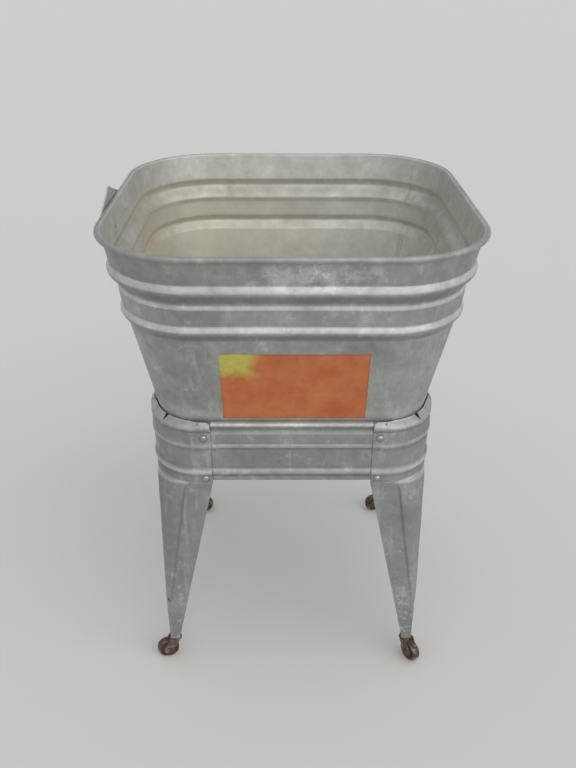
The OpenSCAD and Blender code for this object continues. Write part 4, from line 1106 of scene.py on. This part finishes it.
rivet_nodes = rivet_tree(zinc_rivet)
stand_places, stand_ways = [], []
high_half = float(np.interp(RIVET_HIGH_Z, band_z, band_profile(LEG_HALF, False)))
for turn in SIDES.values():
    for s in (-1, 1):
        for half, z in ((high_half, RIVET_HIGH_Z), (LEG_HALF, RIVET_LOW_Z)):
            for face, way in ((half, 1.0), (half - LAP - STAND_SHEET, -1.0)):
                stand_places.append(turned((face, s * RIVET_ALONG, z), turn))
                stand_ways.append(turned((way, 0.0, 0.0), turn))
stand_heads = rivets("stand_rivets", stand_places, stand_ways, RIVET_HEAD_R, RIVET_HEAD_H, rivet_nodes)
piece("stand_rivets", stand_heads, "stand", zinc_rivet, ["frame_rivets"])

ear_half = float(np.interp(EAR_RIVET_Z, wall_z, wall_half))
ear_places, ear_ways = [], []
for i in (-1, 0, 1):
    for half, way in ((ear_half + EAR_GAP + EAR_SHEET, -1.0), (ear_half - TUB_SHEET + EAR_RIVET_SINK, 1.0)):
        ear_places.append((-half, EAR_Y + i * EAR_RIVET_PITCH, EAR_RIVET_Z))
        ear_ways.append((way, 0.0, 0.0))
ear_heads = rivets("ear_rivet_heads", ear_places, ear_ways, EAR_RIVET_HEAD_R, EAR_RIVET_HEAD_H, rivet_nodes)
piece("ear_rivet_heads", ear_heads, "tub", zinc_rivet, ["ear_rivets"])

# The solids that show as they are take their finish by slot, two of them one of their own
finishes = {
    "galvanised_tub": zinc_tub, "galvanised_stand": zinc_stand, "galvanised_rivet": zinc_rivet,
    "steel_wire": zinc_rivet, "rusted_steel": caster_rust, "caster_wheel_iron": wheel_iron,
    "drain_brass": old_brass, "gasket_rubber": black_rubber,
}
own_finishes = {"tub_bottom": zinc_floor, "side_ear": zinc_plate_lightened}
WELD_GAP, EDGE_EASE, EDGE_STEPS, EDGE_ANGLE = 0.02, 0.5, 2, 35.0
for row in frame["record"]["subparts"]:
    node = frame["nodes"][row["node"]]
    node.data.materials.clear()
    node.data.materials.append(own_finishes.get(row["node"], finishes[row["material_slot"]]))
    if row["material_slot"] in ("rusted_steel", "caster_wheel_iron"):
        joined = node.modifiers.new("joined", "WELD")
        joined.merge_threshold = WELD_GAP * MM
        eased = node.modifiers.new("eased", "BEVEL")
        eased.width = EDGE_EASE * MM
        eased.segments = EDGE_STEPS
        eased.angle_limit = math.radians(EDGE_ANGLE)


# Stage, light and camera

floor_finish, floor_tree, _ = blank_material("pale_floor")
matt = add(floor_tree, "ShaderNodeBsdfPrincipled", {"Base Color": linear("#d9d8d3"), "Roughness": 0.9})
add(floor_tree, "ShaderNodeOutputMaterial", {0: matt})
FLOOR_HALF = 30.0
floor_mesh = bpy.data.meshes.new("floor")
floor_corners = [(x * FLOOR_HALF, y * FLOOR_HALF, 0.0) for x, y in ((-1, -1), (1, -1), (1, 1), (-1, 1))]
floor_mesh.from_pydata(floor_corners, [], [(0, 1, 2, 3)])
floor_mesh.materials.append(floor_finish)
floor = placed("floor", floor_mesh)


def soft_light(name, way, power, spread, tint):
    """A distant soft lamp that shines along way."""
    lamp = bpy.data.lights.new(name, "SUN")
    lamp.energy = power
    lamp.angle = math.radians(spread)
    lamp.color = tint
    placed(name, lamp).rotation_euler = Vector(way).to_track_quat("-Z", "Y").to_euler()


soft_light("door_light", way=(-0.75, 1.0, -0.65), power=1.3, spread=90.0, tint=(1.0, 0.99, 0.97))
soft_light("roof_light", way=(0.0, 0.40, -1.0), power=0.9, spread=120.0, tint=(0.97, 0.99, 1.0))

# The sky lights softly, and looks paler where it is seen, reflected or looked through to
SKY_LIGHT, SKY_SEEN = 0.46, 0.85
world = bpy.data.worlds.new("studio")
bpy.context.scene.world = world
world.use_nodes = True
sky = world.node_tree
sky.nodes.clear()
path = add(sky, "ShaderNodeLightPath").node.outputs
seen = add(sky, "ShaderNodeMath", {0: path["Is Camera Ray"], 1: path["Is Glossy Ray"]}, operation="MAXIMUM")
seen = add(sky, "ShaderNodeMath", {0: seen, 1: path["Is Transmission Ray"]}, operation="MAXIMUM")
level = add(sky, "ShaderNodeMapRange", {"Value": seen, "To Min": SKY_LIGHT, "To Max": SKY_SEEN})
backdrop = add(sky, "ShaderNodeBackground", {"Color": linear("#eef0f2"), "Strength": level})
add(sky, "ShaderNodeOutputWorld", {0: backdrop})

# Camera as fitted to the picture: place in metres, angles in radians, focal length and height in pixels
CAMERA_PLACE = (-0.01219, -1.2070, 1.13646)
PITCH, YAW, ROLL = 0.5179, 0.0062, 0.0023
FOCAL_PIXELS, PICTURE_PIXELS, SENSOR_MM = 777.0, 768.0, 36.0
camera_data = bpy.data.cameras.new("camera")
camera_data.sensor_width = SENSOR_MM
camera_data.lens = FOCAL_PIXELS / PICTURE_PIXELS * SENSOR_MM
camera = placed("camera", camera_data)
camera.location = CAMERA_PLACE
ahead = Vector((math.sin(YAW) * math.cos(PITCH), math.cos(YAW) * math.cos(PITCH), -math.sin(PITCH)))
aim = ahead.to_track_quat("-Z", "Y").to_matrix() @ Euler((0.0, 0.0, ROLL)).to_matrix()
camera.rotation_euler = aim.to_euler()
bpy.context.scene.camera = camera
bpy.context.scene.view_settings.view_transform = "Standard"
